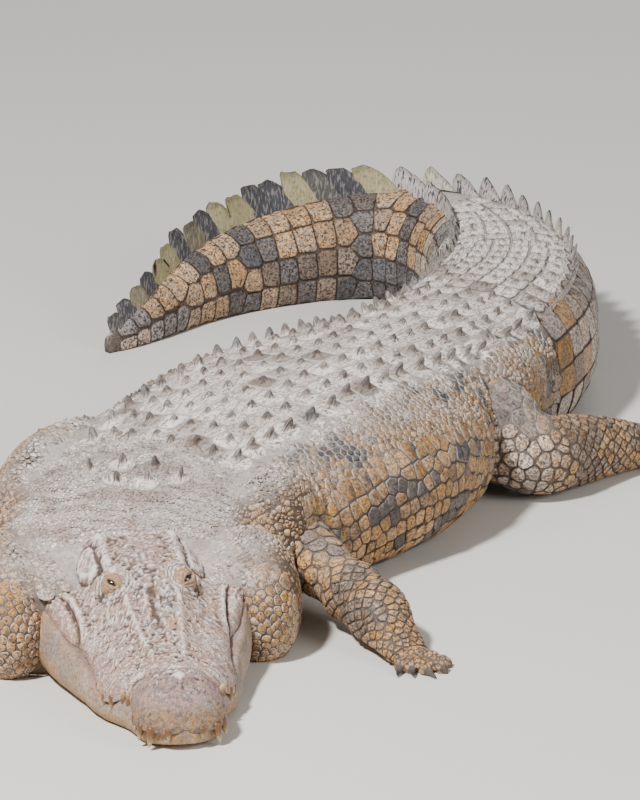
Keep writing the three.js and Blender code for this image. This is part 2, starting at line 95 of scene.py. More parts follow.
JAW_SHARES = ((0.93, 1), (0.985, 0.72), (1, 0.42), (0.95, 0.17), (0.84, 0.03), (0.7, 0))
UPPER_TEETH = ((-22, 14), (-7, 34), (14, 26), (48, 14), (140, 22), (162, 18), (200, 12))
LOWER_TEETH = ((98, 22), (114, 20))

# lobes of muscle: distance along the midline, side, height, half lengths along, across and up
LOBES = (
    (590, 244, 88, 184, 102, 150), (590, -270, 88, 184, 102, 150),
    (960, 262, 190, 190, 84, 118), (960, -262, 190, 190, 84, 118),
    (1935, 190, 168, 170, 84, 136), (1935, -190, 168, 170, 84, 136),
)

# crests: the paired rows run from the first figure to the second, single blades to the third
CREST_START, CREST_MEET, CREST_END = 2176, 3346, 4216
PAIRED, SINGLE = 18, 17
PAIR_PITCH = (CREST_MEET - CREST_START) / PAIRED * MM
CREST_SPREAD = ((2150, 176), (2400, 160), (2700, 130), (2900, 103), (3120, 64), (3350, 9))
SINGLE_RISE = ((0, 78), (3, 90), (8, 90), (13, 74), (17, 38))

# legs: joints and middles of the limbs on the floor plan of the snout, height, half width and
# half height; toes: count, direction of the middle toe, fan, lengths and half width
LEGS = {
    "front_left": (1, ((190, 860, 150, 72, 72), (262, 762, 112, 62, 62), (332, 664, 86, 60, 60),
                       (382, 576, 72, 64, 62), (416, 512, 46, 52, 42), (440, 476, 25, 50, 25)),
                   (5, -60, 21, (62, 66, 86, 100, 92), 14.5)),
    "front_right": (-1, ((-215, 1070, 130, 72, 72), (-330, 1080, 98, 62, 62), (-452, 1046, 86, 60, 60),
                         (-500, 960, 72, 64, 62), (-532, 896, 46, 52, 42), (-552, 860, 25, 50, 25)),
                    (5, -112, 21, (62, 66, 86, 100, 92), 14.5)),
    "hind_left": (1, ((490, 1700, 170, 118, 112), (632, 1562, 142, 108, 116), (732, 1518, 98, 84, 86),
                      (842, 1626, 74, 72, 74), (966, 1716, 50, 50, 48), (1066, 1762, 24, 52, 24)),
                  (4, 25, 17, (118, 134, 138, 128), 17)),
    "hind_right": (-1, ((345, 1885, 170, 118, 112), (215, 1900, 134, 100, 104), (98, 1912, 98, 80, 82),
                        (70, 2012, 74, 70, 72), (68, 2106, 50, 48, 46), (-14, 2140, 24, 52, 24)),
                   (4, 182, 17, (118, 134, 138, 128), 17)),
}
CLAW_LENGTH, CLAW_RADIUS, CLAW_COUNT = 32, 7.5, 3

COAT_DEPTH = 4 * MM         # the hide lies this far inside the solids, and the scales fill it
FLOOR = 0.5 * MM            # the lowest level of anything that is made here
TAIL_TIP = 4250


# ---- helpers on arrays --------------------------------------------------------------------

def smooth_curve(xs, ys):
    """Monotone cubic through the points: each tangent is the weighted harmonic mean of its two slopes."""
    xs, ys = np.asarray(xs, float), np.asarray(ys, float)
    step = np.diff(xs)
    slope = np.diff(ys) / step
    before, after = 2 * step[1:] + step[:-1], step[1:] + 2 * step[:-1]
    same = slope[:-1] * slope[1:] > 0
    first, second = np.where(same, slope[:-1], 1), np.where(same, slope[1:], 1)
    inner = np.where(same, (before + after) / (before / first + after / second), 0)
    tangent = np.concatenate([slope[:1], inner, slope[-1:]])

    def value(x):
        """Hermite cubic between the two nearest points."""
        x = np.clip(np.asarray(x, float), xs[0], xs[-1])
        i = np.clip(np.searchsorted(xs, x, side="right") - 1, 0, len(step) - 1)
        t = (x - xs[i]) / step[i]
        start = (1 + 2 * t) * (1 - t) ** 2 * ys[i] + t * (1 - t) ** 2 * step[i] * tangent[i]
        return start + t * t * (3 - 2 * t) * ys[i + 1] + t * t * (t - 1) * step[i] * tangent[i + 1]
    return value


def ease(low, high, x):
    """Smooth step from 0 at low to 1 at high: the cubic 3t^2 - 2t^3 of the clamped share t."""
    t = np.clip((np.asarray(x, float) - low) / (high - low), 0, 1)
    return t * t * (3 - 2 * t)


def bell(x, centre, width):
    """Gaussian hump of height 1."""
    return np.exp(-((np.asarray(x, float) - centre) / width) ** 2)


def smooth_max(a, b, blend):
    """The larger value, with a quarter of the blend added where both are equal, fading over the blend."""
    near = np.clip(1 - np.abs(a - b) / blend, 0, None)
    return np.maximum(a, b) + 0.25 * blend * near * near


def lattice_value(i, j, k, seed):
    """Fixed pseudo-random number from 0 to 1 for each corner of a cubic lattice, by integer mixing."""
    with np.errstate(over="ignore"):
        n = (i * 374761393 + j * 668265263 + k * 2147483647 + seed * 1274126177).astype(np.int64)
        n = (n ^ (n >> 13)) * 1274126177
        n = n ^ (n >> 16)
    return (n & 0xFFFFFF) / 0xFFFFFF


def noise(points, size, seed=0):
    """Value noise from 0 to 1: lattice corners a size apart, blended with eased weights on the three axes."""
    p = np.asarray(points, float) / size
    base = np.floor(p).astype(np.int64)
    t = p - base
    t = t * t * (3 - 2 * t)
    total = 0
    for corner in range(8):
        pick = np.array([corner & 1, corner >> 1 & 1, corner >> 2 & 1])
        weight = np.prod(np.where(pick == 1, t, 1 - t), axis=-1)
        total = total + weight * lattice_value(*np.moveaxis(base + pick, -1, 0), seed)
    return total


def unit(vectors):
    """The vectors at length 1."""
    return vectors / np.maximum(np.linalg.norm(vectors, axis=-1, keepdims=True), 1e-12)


# ---- the midline --------------------------------------------------------------------------

def column_curve(table, column, scale=MM):
    """Curve of one column of a table over its first, which is a distance in millimetres."""
    return smooth_curve([row[0] * MM for row in table], [row[column] * scale for row in table])


heading_at = column_curve(STATIONS, 1, math.radians(1))
half_at, top_at, power_at = column_curve(STATIONS, 2), column_curve(STATIONS, 3), column_curve(STATIONS, 4, 1)
spread_at = column_curve(CREST_SPREAD, 1)

WALK = np.arange(0, TAIL_TIP + 2, 2) * MM
_turn = heading_at(WALK[:-1] + MM)
WALK_X = np.concatenate([[0], np.cumsum(2 * MM * np.sin(_turn))])
WALK_Y = np.concatenate([[0], np.cumsum(2 * MM * np.cos(_turn))])


def snout_on_floor():
    """The frame's point under the snout: the middle between the eyes, less their place on the head."""
    corners = [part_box(name) for name in ("eye_left", "eye_right")]
    middle = sum(((low + high) / 4 for low, high in corners), start=corners[0][0] * 0)
    ahead = np.array([math.sin(HEAD_TURN), math.cos(HEAD_TURN)])
    return np.array([middle.x, middle.y]) - ahead * EYE_BACK * MM


SNOUT = snout_on_floor()


def place(s, side, height):
    """Points of the frame from the distance along the midline, the distance to its left and the height."""
    s = np.asarray(s, float)
    turn = heading_at(s)
    before = np.minimum(s, 0)
    x = np.interp(s, WALK, WALK_X) + before * np.sin(turn) + side * np.cos(turn)
    y = np.interp(s, WALK, WALK_Y) + before * np.cos(turn) - side * np.sin(turn)
    return np.stack([x + SNOUT[0], y + SNOUT[1], np.broadcast_to(height, x.shape)], -1)


# ---- surfaces of the hide: each is a function of two parameters -----------------------------

def lobe_radius(s, phi, level, lobe):
    """Where a ray from the section's middle leaves an ellipsoid; rays that miss it fall off behind it."""
    along, side, height, length, width, rise = (value * MM for value in lobe)
    size = np.sqrt(np.clip(1 - ((s - along) / length) ** 2, 1e-4, 1))
    ray = np.sin(phi) / (width * size), np.cos(phi) / (rise * size)
    centre = side / (width * size), (height - level) / (rise * size)
    square = ray[0] ** 2 + ray[1] ** 2
    reach = ray[0] * centre[0] + ray[1] * centre[1]
    rest = reach ** 2 - square * (centre[0] ** 2 + centre[1] ** 2 - 1)
    leaves = (reach + np.sign(rest) * np.sqrt(np.abs(rest))) / square
    return np.where(np.abs(s - along) < length, leaves, -1)


def body_folds(s, phi, points):
    """Folds of loose hide, metres: rings behind the skull, creases behind the shoulder and at the thigh."""
    side = np.abs(phi)
    wander = (noise(points, 90 * MM, 3) - 0.5) * 60 * MM
    nape = -9 * MM * bell(s, 0.594, 0.013) * (1 - ease(0.9, 1.3, side))
    rings = 3.2 * MM * np.sin((s + wander) / (38 * MM) * 2 * np.pi)
    rings = rings * ease(0.6, 0.64, s) * (1 - ease(0.74, 0.86, s))
    armpit = bell(s, 1.09, 0.07) * ease(0.7, 1.1, side)
    groin = bell(s, 1.77, 0.09) * ease(0.6, 1.0, side)
    creases = 4 * MM * np.sin((s + 0.5 * wander + 0.03 * side) / (52 * MM) * 2 * np.pi) * (armpit + groin)
    waist = -10 * MM * bell(s, 1.76, 0.06) * bell(side, 1.5, 0.5)
    swell = 7 * MM * (noise(points, 130 * MM, 5) - 0.5) * ease(0.62, 0.7, s)
    return nape + rings + creases + waist + swell


def body_section(s, phi):
    """Polar radius on the body and height of its middle: a superellipse, joined smoothly to the lobes."""
    s, phi = np.broadcast_arrays(np.asarray(s, float), np.asarray(phi, float))
    level = WIDEST * top_at(s)
    upper = np.cos(phi) > 0
    power = np.where(upper, power_at(s), BELLY_POWER)
    rise = np.where(upper, top_at(s) - level - COAT_DEPTH, BELLY_DROP * level)
    across = np.abs(np.sin(phi)) / (half_at(s) - COAT_DEPTH)
    radius = (across ** power + (np.abs(np.cos(phi)) / rise) ** power) ** (-1 / power)
    radius = radius * (0.8 + 0.2 * ease(0.5, 0.575, s))
    for lobe in LOBES:
        radius = smooth_max(radius, lobe_radius(s, phi, level, lobe) - COAT_DEPTH, 34 * MM)
    return radius, level


def body(s, phi):
    """Points of neck, trunk and tail: phi runs round the section from the top, positive to the left."""
    radius, level = body_section(s, phi)
    rough = place(s, radius * np.sin(phi), level + radius * np.cos(phi))
    radius = radius + body_folds(s, phi, rough) * ease(4.2, 3.9, s)
    down = np.minimum(np.cos(phi), -1e-6)
    radius = np.where(np.cos(phi) < 0, np.minimum(radius, (FLOOR - level) / down), radius)
    return place(s, radius * np.sin(phi), level + radius * np.cos(phi))


_root = [math.sqrt(r[0] + 27) for r in HEAD]
head_back = smooth_curve(_root, [r[0] for r in HEAD])
upper_jaw, lower_jaw, mouth_line, cheek, crown, strip = (
    smooth_curve(_root, [r[i] for r in HEAD]) for i in range(1, 7)
)
jaw_side = smooth_curve(np.linspace(0, 1, 6), [share for share, _ in JAW_SHARES])
jaw_level = smooth_curve(np.linspace(0, 1, 6), [level for _, level in JAW_SHARES])
LIP, GROOVE, JAW_TOP, JAW_FLOOR = 0.56, 0.60, 0.64, 0.92     # where the parts of half a ring end


def wrinkles(back, side, size, seed):
    """Raised worm-like lines, 1 on a line and 0 between: where a noise of two sizes is near its middle value.

    They are drawn out along the flow of the hide: forwards and outwards, and round the nose disc.
    """
    a = np.abs(side)
    ringed = ease(190, 110, back)
    over = (1 - ringed) * (0.87 * a + 0.5 * back) + ringed * np.hypot(back - 30, side)
    along = (1 - ringed) * (0.87 * back - 0.5 * a) + ringed * 60 * np.arctan2(side, back - 30)
    spot = np.stack([over, along / 2.6, 30 * ease(-20, 20, side)], -1)
    field = noise(spot, size, seed) + 0.45 * noise(spot, 0.45 * size, seed + 1) - 0.225
    return np.exp(-((field - 0.5) / 0.1) ** 2)


def tooth_swell(back):
    """Swelling of the lip round each upper tooth, from 0 to 1."""
    teeth = sum(bell(back, tooth, 11) for tooth, _ in UPPER_TEETH[3:])
    return teeth + 0.8 * bell(back, 268, 12) + 0.6 * bell(back, 296, 12)


def head_relief(back, side, points):
    """Height of the head's details over its dome, millimetres: swellings, ridges, creases and pits."""
    a = np.abs(side)
    ring = np.hypot(back - EYE_BACK, 1.15 * (a - EYE_SIDE))
    skull = ease(425, 450, back) * (1 - ease(566, 584, back))
    ear = np.hypot((back - 496) / 50, (a - 105) / 22)
    pouch = 141 + 0.0016 * (back - 330) ** 2
    disc = ease(108, 84, back)
    parts = (
        10 * bell(back, 66, 34) * bell(a, 0, 44),                               # nasal swelling
        -8 * bell(back, 112, 8) * bell(a, 0, 95),                               # crease behind the nose disc
        6 * bell(np.hypot(back - 38, side), 0, 9),                              # knob between the nostrils
        -8 * bell(np.hypot((back - 56) * 1.5, side - 9), 0, 7),                 # nostrils
        -5 * bell(np.hypot((back - 50) * 1.4, side + 15), 0, 6),
        -3 * bell(back, 66, 4) * bell(a, 0, 40),                                # crease round their swelling
        9 * bell(back, EYE_BACK + 6, 36) * bell(a, EYE_SIDE - 4, 27),           # brow
        -15 * bell(back, EYE_BACK - 6, 24) * bell(a, EYE_SIDE + 27, 14),        # socket on the outer side
        -6 * bell(back, EYE_BACK - 38, 12) * bell(a, EYE_SIDE + 2, 18),         # hollow before the eye
        2.6 * np.cos(ring / 8 * 2 * np.pi) * bell(ring, 33, 9),                 # wrinkles round the eye
        5 * bell(a, 74 - 0.03 * (back - 480), 11) * skull,                      # edge of the skull table
        -9 * bell(a, 90, 4.5) * ease(434, 446, back) * (1 - ease(530, 556, back)),  # slit of the ear
        -9 * bell(np.hypot((back - 438) * 0.7, a - 88), 0, 7),
        7 * ease(1.12, 0.8, ear) - 5 * bell(ear, 1.2, 0.1) * ease(92, 100, a),  # ear flap and its rim
        8 * bell(np.hypot(back - 556, a - 76), 0, 19),                          # rear knob of the skull
        5 * bell(a, 30 + 0.12 * (back - 150), 9) * ease(140, 190, back) * (1 - ease(345, 375, back)),
        -4 * bell(a, 0, 14) * ease(200, 260, back) * (1 - ease(350, 400, back)),  # furrow down the muzzle
        8 * bell(np.hypot(back - 336, side - 52), 0, 5),                        # horny knob before the eye
        11 * bell(a, pouch, 7) * bell(back, 380, 70),                           # upper rim of the cheek pouch
        -12 * bell(a, pouch + 14, 5.5) * bell(back, 384, 70),
        8 * bell(back, 396, 70) * bell(a, 188, 22),                             # pouch where the mouth ends
        2.5 * np.cos((a - 0.45 * back) / 10 * 2 * np.pi) * bell(back, 470, 60) * ease(150, 168, a),
        -9 * bell(back, 322, 7) * ease(146, 160, a),                            # its front end
        3.0 * (noise(points, 34 * MM, 11) - 0.5),
        3.0 * (wrinkles(back, side, 7.5, 12) - 0.4) * (1 - 0.8 * disc) * ease(0, 60, back),
        -1.2 * ease(0.62, 0.72, noise(points, 9 * MM, 14)),                     # pits
        2.2 * (noise(points, 4.5 * MM, 16) - 0.5) * disc,                       # grains of the nose disc
    )
    return sum(parts)


def jowl_front(lobe):
    """The front of a jowl as a surface of its own, because its rings on the body grow too steeply there."""
    along, side, height, length, width, rise = (value * MM for value in lobe)
    hand = math.copysign(1, side)

    def surface(tilt, turn):
        """Points on the ellipsoid: tilt is the angle from its front pole, turn runs round from outside."""
        size = np.sin(tilt)
        across = side + hand * (width - 2 * MM) * size * np.cos(turn)
        level = height - hand * (rise - 2 * MM) * size * np.sin(turn)
        return place(along - (length + 2 * MM) * np.cos(tilt), across, np.maximum(level, FLOOR))

    def marks(tilt, turn, points):
        """Those of the body at the same place."""
        s = along - length * np.cos(tilt)
        across = side + hand * width * np.sin(tilt) * np.cos(turn)
        return body_marks(s, np.arctan2(across, points[..., 2] - WIDEST * top_at(s)), points)
    return surface, marks


def head_detail(q, v):
    """Back, signed side and height on the head above the lip, millimetres, and the relief there."""
    w, hand = np.abs(v), np.where(v < 0, -1, 1)
    back = head_back(q)
    wide = upper_jaw(q) + 3 * tooth_swell(back) * ease(60, 100, back)
    lip = mouth_line(q) - 4 * tooth_swell(back)
    angle = np.clip(w / LIP, 0, 1) * math.pi / 2
    share, reach = np.sin(angle) ** (2 / HEAD_POWER), np.cos(angle) ** (2 / HEAD_POWER)
    side = wide * share
    raised = 1 - ease(0.75, 1.5, side / strip(q))
    height = lip + (cheek(q) - lip) * reach + (crown(q) - cheek(q)) * raised
    rough = place(back * MM, hand * side * MM, height * MM)
    relief = head_relief(back, hand * side, rough) * ease(0, 6, q) * (0.25 + 0.75 * reach)
    return back, wide, lip, side, height, share, reach, rough, relief


def head(q, v):
    """Points of the head: q is the root of the distance from the tip, v runs from the crown, signed by side.

    Above the lip a ring is a superellipse with a raised middle strip. Then a groove runs in along the mouth
    line, and below it the lower jaw swells out and flattens on the floor.
    """
    q, v = np.broadcast_arrays(np.asarray(q, float), np.asarray(v, float))
    hand = np.where(v < 0, -1, 1)
    w, jaw = np.abs(v), lower_jaw(q)
    back, wide, lip, side, height, share, reach, rough, relief = head_detail(q, v)
    side, height = side + relief * share ** 3, np.maximum(height + relief * reach ** 0.5, lip)
    inner = np.minimum(wide, 0.93 * jaw) - np.minimum(10, 0.3 * wide)
    chin = 14 * np.clip(1 - (back + 22) / 52, 0, 1)
    chin = np.where(back < -22, chin + (lip - chin) * (1 - np.clip((back + 27) / 5, 0, 1)), chin)
    down = np.clip((w - JAW_TOP) / (JAW_FLOOR - JAW_TOP), 0, 1)
    soft = 2.5 * (noise(rough, 55 * MM, 17) - 0.5) + 1.2 * (noise(rough, 22 * MM, 18) - 0.5)
    jaw_out = jaw * jaw_side(down) + soft * np.sin(down * math.pi)
    jaw_up = chin + (lip - 1.5 - chin) * jaw_level(down)
    into = ease(LIP, GROOVE, w)
    out = ease(GROOVE, JAW_TOP, w)
    under = np.clip((w - JAW_FLOOR) / (1 - JAW_FLOOR), 0, 1)
    side = np.where(w > LIP, side + (inner - side) * into, side)
    side = np.where(w > GROOVE, inner + (jaw_out - inner) * out, side)
    height = np.where(w > GROOVE, lip + (jaw_up - lip) * out, height)
    side = np.where(w > JAW_FLOOR, side * (1 - under), side)
    return place(back * MM, hand * side * MM, np.maximum(height * MM, FLOOR))


def limb_curves(rows):
    """Curves of a limb over the row number: its path by Catmull-Rom tangents, and its half sizes."""
    path = np.array([r[:3] for r in rows], float) * MM + [*SNOUT, 0]
    padded = np.vstack([2 * path[0] - path[1], path, 2 * path[-1] - path[-2]])
    count = len(rows)
    index = np.arange(count)
    wide, high = (smooth_curve(index, [r[i] * MM for r in rows]) for i in (3, 4))

    def line(u):
        """Point and direction of the path at a row number."""
        i = np.clip(np.floor(u).astype(int), 0, count - 2)
        t = (u - i)[..., None]
        a, b, c, d = (padded[i + n] for n in range(4))
        bend, twist = 2 * a - 5 * b + 4 * c - d, 3 * b - a - 3 * c + d
        point = 0.5 * (2 * b + (c - a) * t + bend * t ** 2 + twist * t ** 3)
        ahead = 0.5 * ((c - a) + 2 * bend * t + 3 * twist * t ** 2)
        return point, unit(ahead)
    return line, wide, high


def tube(centre, ahead, wide, high, angle):
    """Points round a path: an ellipse across it, laid flat where it would reach below the floor."""
    across = unit(np.stack([ahead[..., 1], -ahead[..., 0], np.zeros_like(ahead[..., 0])], -1))
    over = unit(np.cross(across, ahead))
    points = centre + across * (wide * np.sin(angle))[..., None] + over * (high * np.cos(angle))[..., None]
    points[..., 2] = np.maximum(points[..., 2], FLOOR)
    return points


LIMB_END = 5.45             # the limb is rounded off beyond its last row


def limb_surface(rows):
    """Surface of a limb from its rows."""
    line, wide, high = limb_curves(rows)

    def surface(u, angle):
        """Points of a limb: u is the row number from shoulder or hip, angle runs round from the top."""
        u, angle = np.broadcast_arrays(np.asarray(u, float), np.asarray(angle, float))
        centre, ahead = line(u)
        rough = tube(centre, ahead, wide(u), high(u), angle)
        swell = 5 * MM * (noise(rough, 60 * MM, 21) - 0.5) - 1.5 * MM
        swell = swell + 4 * MM * bell(u, 2, 0.2) - 4 * MM * bell(u, 1.55, 0.22)
        end = np.sqrt(np.clip(1 - (np.clip(u - 5, 0, 1) / (LIMB_END - 5)) ** 2, 0.002, 1))
        return tube(centre, ahead, (wide(u) + swell) * end, (high(u) + swell) * end, angle)
    return surface


def toe_direction(leg, index):
    """Root, direction, length and half width of a toe, in an even fan of toes."""
    hand, rows, (count, axis, fan, lengths, half) = leg
    turn = math.radians(axis + hand * fan * (index - (count - 1) / 2))
    root = np.array([rows[-1][0], rows[-1][1], 0]) * MM + [*SNOUT, 0]
    return root, np.array([math.cos(turn), math.sin(turn), 0]), lengths[index] * MM, half * MM


TOE_SIZE = smooth_curve([0, 0.7, 1, 1.08], [1.1, 1.08, 0.72, 0.05])
TOE_HEIGHT = smooth_curve([0, 0.7, 1, 1.08], [22, 14, 9, 1])


def toe_surface(leg, index):
    """Surface of one toe of a leg."""
    root, ahead, length, half = toe_direction(leg, index)

    def surface(u, angle):
        """Points of a toe: an ellipse that narrows to the claw, swollen at its two joints."""
        u, angle = np.broadcast_arrays(np.asarray(u, float), np.asarray(angle, float))
        knuckle = 1 + 0.09 * np.cos((u - 0.62) / 0.3 * 2 * np.pi) * ease(0.3, 0.5, u)
        centre = root + ahead * (u * length)[..., None]
        centre[..., 2] = TOE_HEIGHT(u) * MM - 0.5 * MM
        way = np.broadcast_to(ahead, centre.shape)
        wide = half * TOE_SIZE(u) * knuckle - 1 * MM
        return tube(centre, way, wide, TOE_HEIGHT(u) * MM * knuckle - 1 * MM, angle)
    return surface


# ---- markings: the same for the hide and for the scales --------------------------------------

# angle from the top at which the grey back turns into the tan flank, along the midline
BACK_EDGE = smooth_curve(
    [0.55, 0.95, 1.45, 2.15, 2.7, 3.0, 3.346, 4.25], [1.05, 0.98, 0.88, 0.86, 0.66, 0.5, 0.04, 0.0]
)


def body_marks(s, phi, points):
    """Shares of slate, tan, pale dust and pink on neck, trunk and tail, and of speckles."""
    side = np.abs(phi)
    edge = BACK_EDGE(s)
    ragged = 0.16 * (noise(points, 60 * MM, 31) - 0.5)
    warm = ease(edge - 0.05, edge + 0.22 + 0.4 * ease(2.2, 1.9, s) * ease(0.95, 1.1, s), side + ragged)
    blotch = ease(0.62, 0.67, noise(points * [1, 1, 1.35], 44 * MM, 32))
    tail = ease(2.15, 2.6, s)
    bands = ease(0.15, 0.55, np.sin((s + 0.05 * side) / 0.235 * 2 * np.pi + 4 * noise(points, 160 * MM, 33)))
    flank = ease(0.98, 1.12, s) * ease(edge - 0.02, edge + 0.16, side)
    slate = flank * ((1 - tail) * 0.9 * blotch + tail * (0.95 * bands + 0.3 * blotch))
    # Darker low on the tail, near the floor, in patches.
    low = tail * ease(150 * MM, 70 * MM, points[..., 2]) * ease(0.46, 0.54, noise(points, 70 * MM, 44))
    slate = np.maximum(slate, 1.1 * low * ease(3.9, 3.6, s))
    slate = slate + 0.5 * bell(side, edge - 0.06, 0.13) * ease(1.0, 1.2, s) * (1 - tail) * blotch
    patches = noise(points, 34 * MM, 34) + 0.6 * noise(points, 13 * MM, 41) - 0.8
    near = ease(1.98, 2.12, s) * ease(3.2, 2.9, s)
    above = flank * (1 - tail) * (1 - 0.5 * warm)
    plates = near * flank * ease(0.52, 0.58, noise(points * [1, 1, 0.8], 70 * MM, 47))
    slate = np.maximum(slate, 0.6 * plates)
    dust = (1 - (0.8 - 0.65 * near) * warm) * (0.75 + 0.5 * tail + 1.6 * patches - 0.6 * above)
    dust = dust * (1 - 0.6 * slate) + 0.5 * ease(3.9, 4.15, s) * ease(80 * MM, 20 * MM, points[..., 2])
    pink = ease(0.9, 0.62, s) * (1 - warm) * 0.8
    speckle = warm * (0.65 + 0.35 * tail)
    return np.stack([slate, warm, dust, pink], -1), speckle


def limb_marker(hind, hand):
    """Markings of a leg on one side of the body."""
    def marks(u, angle, points):
        """The same shares on a leg: tan with slate blotches, and a thigh grey on top and pale in front, where
        the pale dust is partly painted light.
        """
        blotch = ease(0.54, 0.62, noise(points, 44 * MM, 35))
        turn = hand * angle
        thigh = (0.75 if hind else 0.3) * ease(2.3, 1.7, u)
        thigh = thigh * (1 - ease(0.6, 1.0, turn) * ease(2.6, 2.2, turn))
        pale = hind * ease(0.2, 0.6, u) * ease(2.3, 1.8, u) * ease(0.8, 1.1, turn) * ease(2.6, 2.3, turn)
        slate = 0.6 * blotch * (1 - 0.5 * ease(3.5, 4.5, u)) * (1 - 0.8 * pale) + 0.25 * thigh
        # Pale dust in front of the thigh, laid on thicker as painted light where that side lies in shade.
        dust = 0.3 * noise(points, 30 * MM, 36) + 0.55 * pale
        return np.stack([slate, 0.95 - 0.55 * thigh, dust, 0 * thigh], -1), 0.8 * (1 - thigh)
    return marks


def head_marks(q, v, points):
    """The same shares on the head: pinkish grey above, a smooth pale jaw with an orange lower rim."""
    w, back = np.abs(v), head_back(q)
    jaw = ease(JAW_TOP - 0.03, JAW_TOP + 0.03, w)
    rim = jaw * ease(0.72, 0.84, w + 0.12 * (noise(points, 50 * MM, 37) - 0.5)) * ease(0, 60, back)
    level = points[..., 2] / MM
    disc = (1 - jaw) * ease(112, 78, back)
    disc_rim = disc * ease(100, 66, level + 24 * (noise(points, 26 * MM, 40) - 0.5))
    grains = 0.6 * disc * (1 - disc_rim) * ease(0.5, 0.62, noise(points, 7 * MM, 39))
    stain = 0.6 * ease(120, 60, back) * jaw + 0.3 * (1 - jaw) * bell(w, LIP, 0.05) * ease(340, 250, back)
    patches = noise(points, 40 * MM, 38) + 0.7 * noise(points, 15 * MM, 42) - 0.85
    streaks = noise(points * [1, 1, 0.45], 38 * MM, 43)
    warm = np.clip(0.9 * rim + 0.95 * disc_rim + stain + 0.12 + jaw * 0.5 * streaks - 0.5 * patches, 0, 1)
    stained = 0.45 * (1 - jaw) * ease(0.52, 0.7, noise(points, 30 * MM, 45))
    warm = np.clip(warm + stained, 0, 1)
    dust = (1 - jaw) * (1.1 * patches - 0.1) * (1 - 0.95 * disc) + jaw * (1 - rim) * 0.3 * streaks
    pink = (1 - jaw) * (0.25 + noise(points, 50 * MM, 46) + 0.4 * disc) * (1 - disc_rim)
    pits = 0.35 * (1 - jaw) * ease(0.62, 0.74, noise(points, 9 * MM, 14))
    grains = np.maximum(grains, pits + 0.3 * disc_rim + 0.2 * disc + 0.24 * jaw)
    reach = np.sin(np.clip(w / LIP, 0, 1) * math.pi / 2) ** (2 / HEAD_POWER)
    side = np.where(v < 0, -1, 1) * upper_jaw(q) * reach
    # Painted shade: dark slate in the groove between the upper lip and the lower jaw, and in the two
    # nostrils.
    groove = bell(w, GROOVE, 0.022 + 0.05 * bell(back, 104, 22)) * ease(-20, 20, back) * 0.95
    groove = np.maximum(groove, bell(np.hypot((back - 57) * 1.6, side - 9), 0, 6))
    groove = np.maximum(groove, 0.8 * bell(np.hypot((back - 51) * 1.5, side + 15), 0, 5))
    marks = np.stack([np.maximum(groove, grains), warm, dust * (1 - groove), pink * (1 - groove)], -1)
    return marks, 0.25 * disc_rim


# ---- meshes ---------------------------------------------------------------------------------

def grid_faces(rows, columns):
    """Quads of a grid whose first index runs along the piece and whose second runs round it."""
    i, j = np.meshgrid(np.arange(rows - 1), np.arange(columns), indexing="ij")
    k = (j + 1) % columns
    here, ahead = i * columns, (i + 1) * columns
    return np.stack([here + j, here + k, ahead + k, ahead + j], -1).reshape(-1, 4)


def stack_faces(levels, around):
    """Quads between rings that stand one on another, and a flat end on the first and on the last."""
    ring = np.arange(around)
    return grid_faces(levels, around), ring[::-1][None], (levels - 1) * around + ring[None]


def copies(parts, count, size):
    """The same faces for each of a count of like solids that have a size of so many vertices."""
    shift = (np.arange(count) * size)[:, None, None]
    return [(part[None] + shift).reshape(-1, part.shape[-1]) for part in parts]


def closed_tube(points, marks, cells):
    """A tube of rings, front to rear, with both ends closed by fans, and its two attributes."""
    rows, columns = points.shape[:2]

    def flat(values):
        """Values on the rings, then the means of the first and of the last ring for the hubs of the fans."""
        ends = [values[n].mean(0).reshape(1, -1) for n in (0, -1)]
        return np.concatenate([values.reshape(rows * columns, -1), *ends])
    j = np.arange(columns)
    k = (j + 1) % columns
    last = (rows - 1) * columns
    front = np.stack([np.full(columns, rows * columns), k, j], -1)
    rear = np.stack([np.full(columns, rows * columns + 1), last + j, last + k], -1)
    return flat(points), [grid_faces(rows, columns), front, rear], flat(marks), flat(cells)


def outward(vertices, faces):
    """The faces, turned round where the closed shell they make has a negative volume."""
    triangles = np.concatenate([f[:, [0, n, n + 1]] for f in faces for n in range(1, f.shape[1] - 1)])
    a, b, c = (vertices[triangles[:, n]] for n in range(3))
    volume = np.einsum("ij,ij->i", a - vertices.mean(0), np.cross(b - a, c - a)).sum()
    return faces if volume > 0 else [f[:, ::-1] for f in faces]


def build_mesh(name, vertices, faces, marks, cells, material, uv=None):
    """A smooth mesh from arrays: marks and cells are colour attributes, uv is one pair for each vertex."""
    mesh = bpy.data.meshes.new(name)
    loops = np.concatenate([f.ravel() for f in faces]).astype(np.int32)
    sizes = np.concatenate([np.full(len(f), f.shape[1]) for f in faces])
    starts = np.concatenate([[0], np.cumsum(sizes)[:-1]]).astype(np.int32)
    mesh.vertices.add(len(vertices))
    mesh.vertices.foreach_set("co", np.ascontiguousarray(vertices, np.float32).ravel())
    mesh.loops.add(len(loops))
    mesh.loops.foreach_set("vertex_index", loops)
    mesh.polygons.add(len(sizes))
    mesh.polygons.foreach_set("loop_start", starts)
    mesh.polygons.foreach_set("use_smooth", np.ones(len(sizes), bool))
    for title, values in (("marks", marks), ("cells", cells)):
        if values is None:
            continue
        layer = mesh.color_attributes.new(title, "FLOAT_COLOR", "POINT")
        layer.data.foreach_set("color", np.clip(values, 0, 1).astype(np.float32).ravel())
    if uv is not None:
        layer = mesh.uv_layers.new(name="OFBake")
        layer.data.foreach_set("uv", np.clip(uv[loops], 0, 1).astype(np.float32).ravel())
    mesh.materials.append(material)
    mesh.update(calc_edges=True)
    if mesh.validate():
        raise RuntimeError(f"{name}: the mesh had faces that are not allowed")
    piece = bpy.data.objects.new(name, mesh)
    bpy.context.scene.collection.objects.link(piece)
    return piece


def finish_piece(piece, slot, *nodes):
    """Fixes a piece to the body and hides the solids that it stands for. Its slot is not used."""
    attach(piece, "root")
    if nodes:
        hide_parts(*nodes)
    return piece


# ---- scales ---------------------------------------------------------------------------------

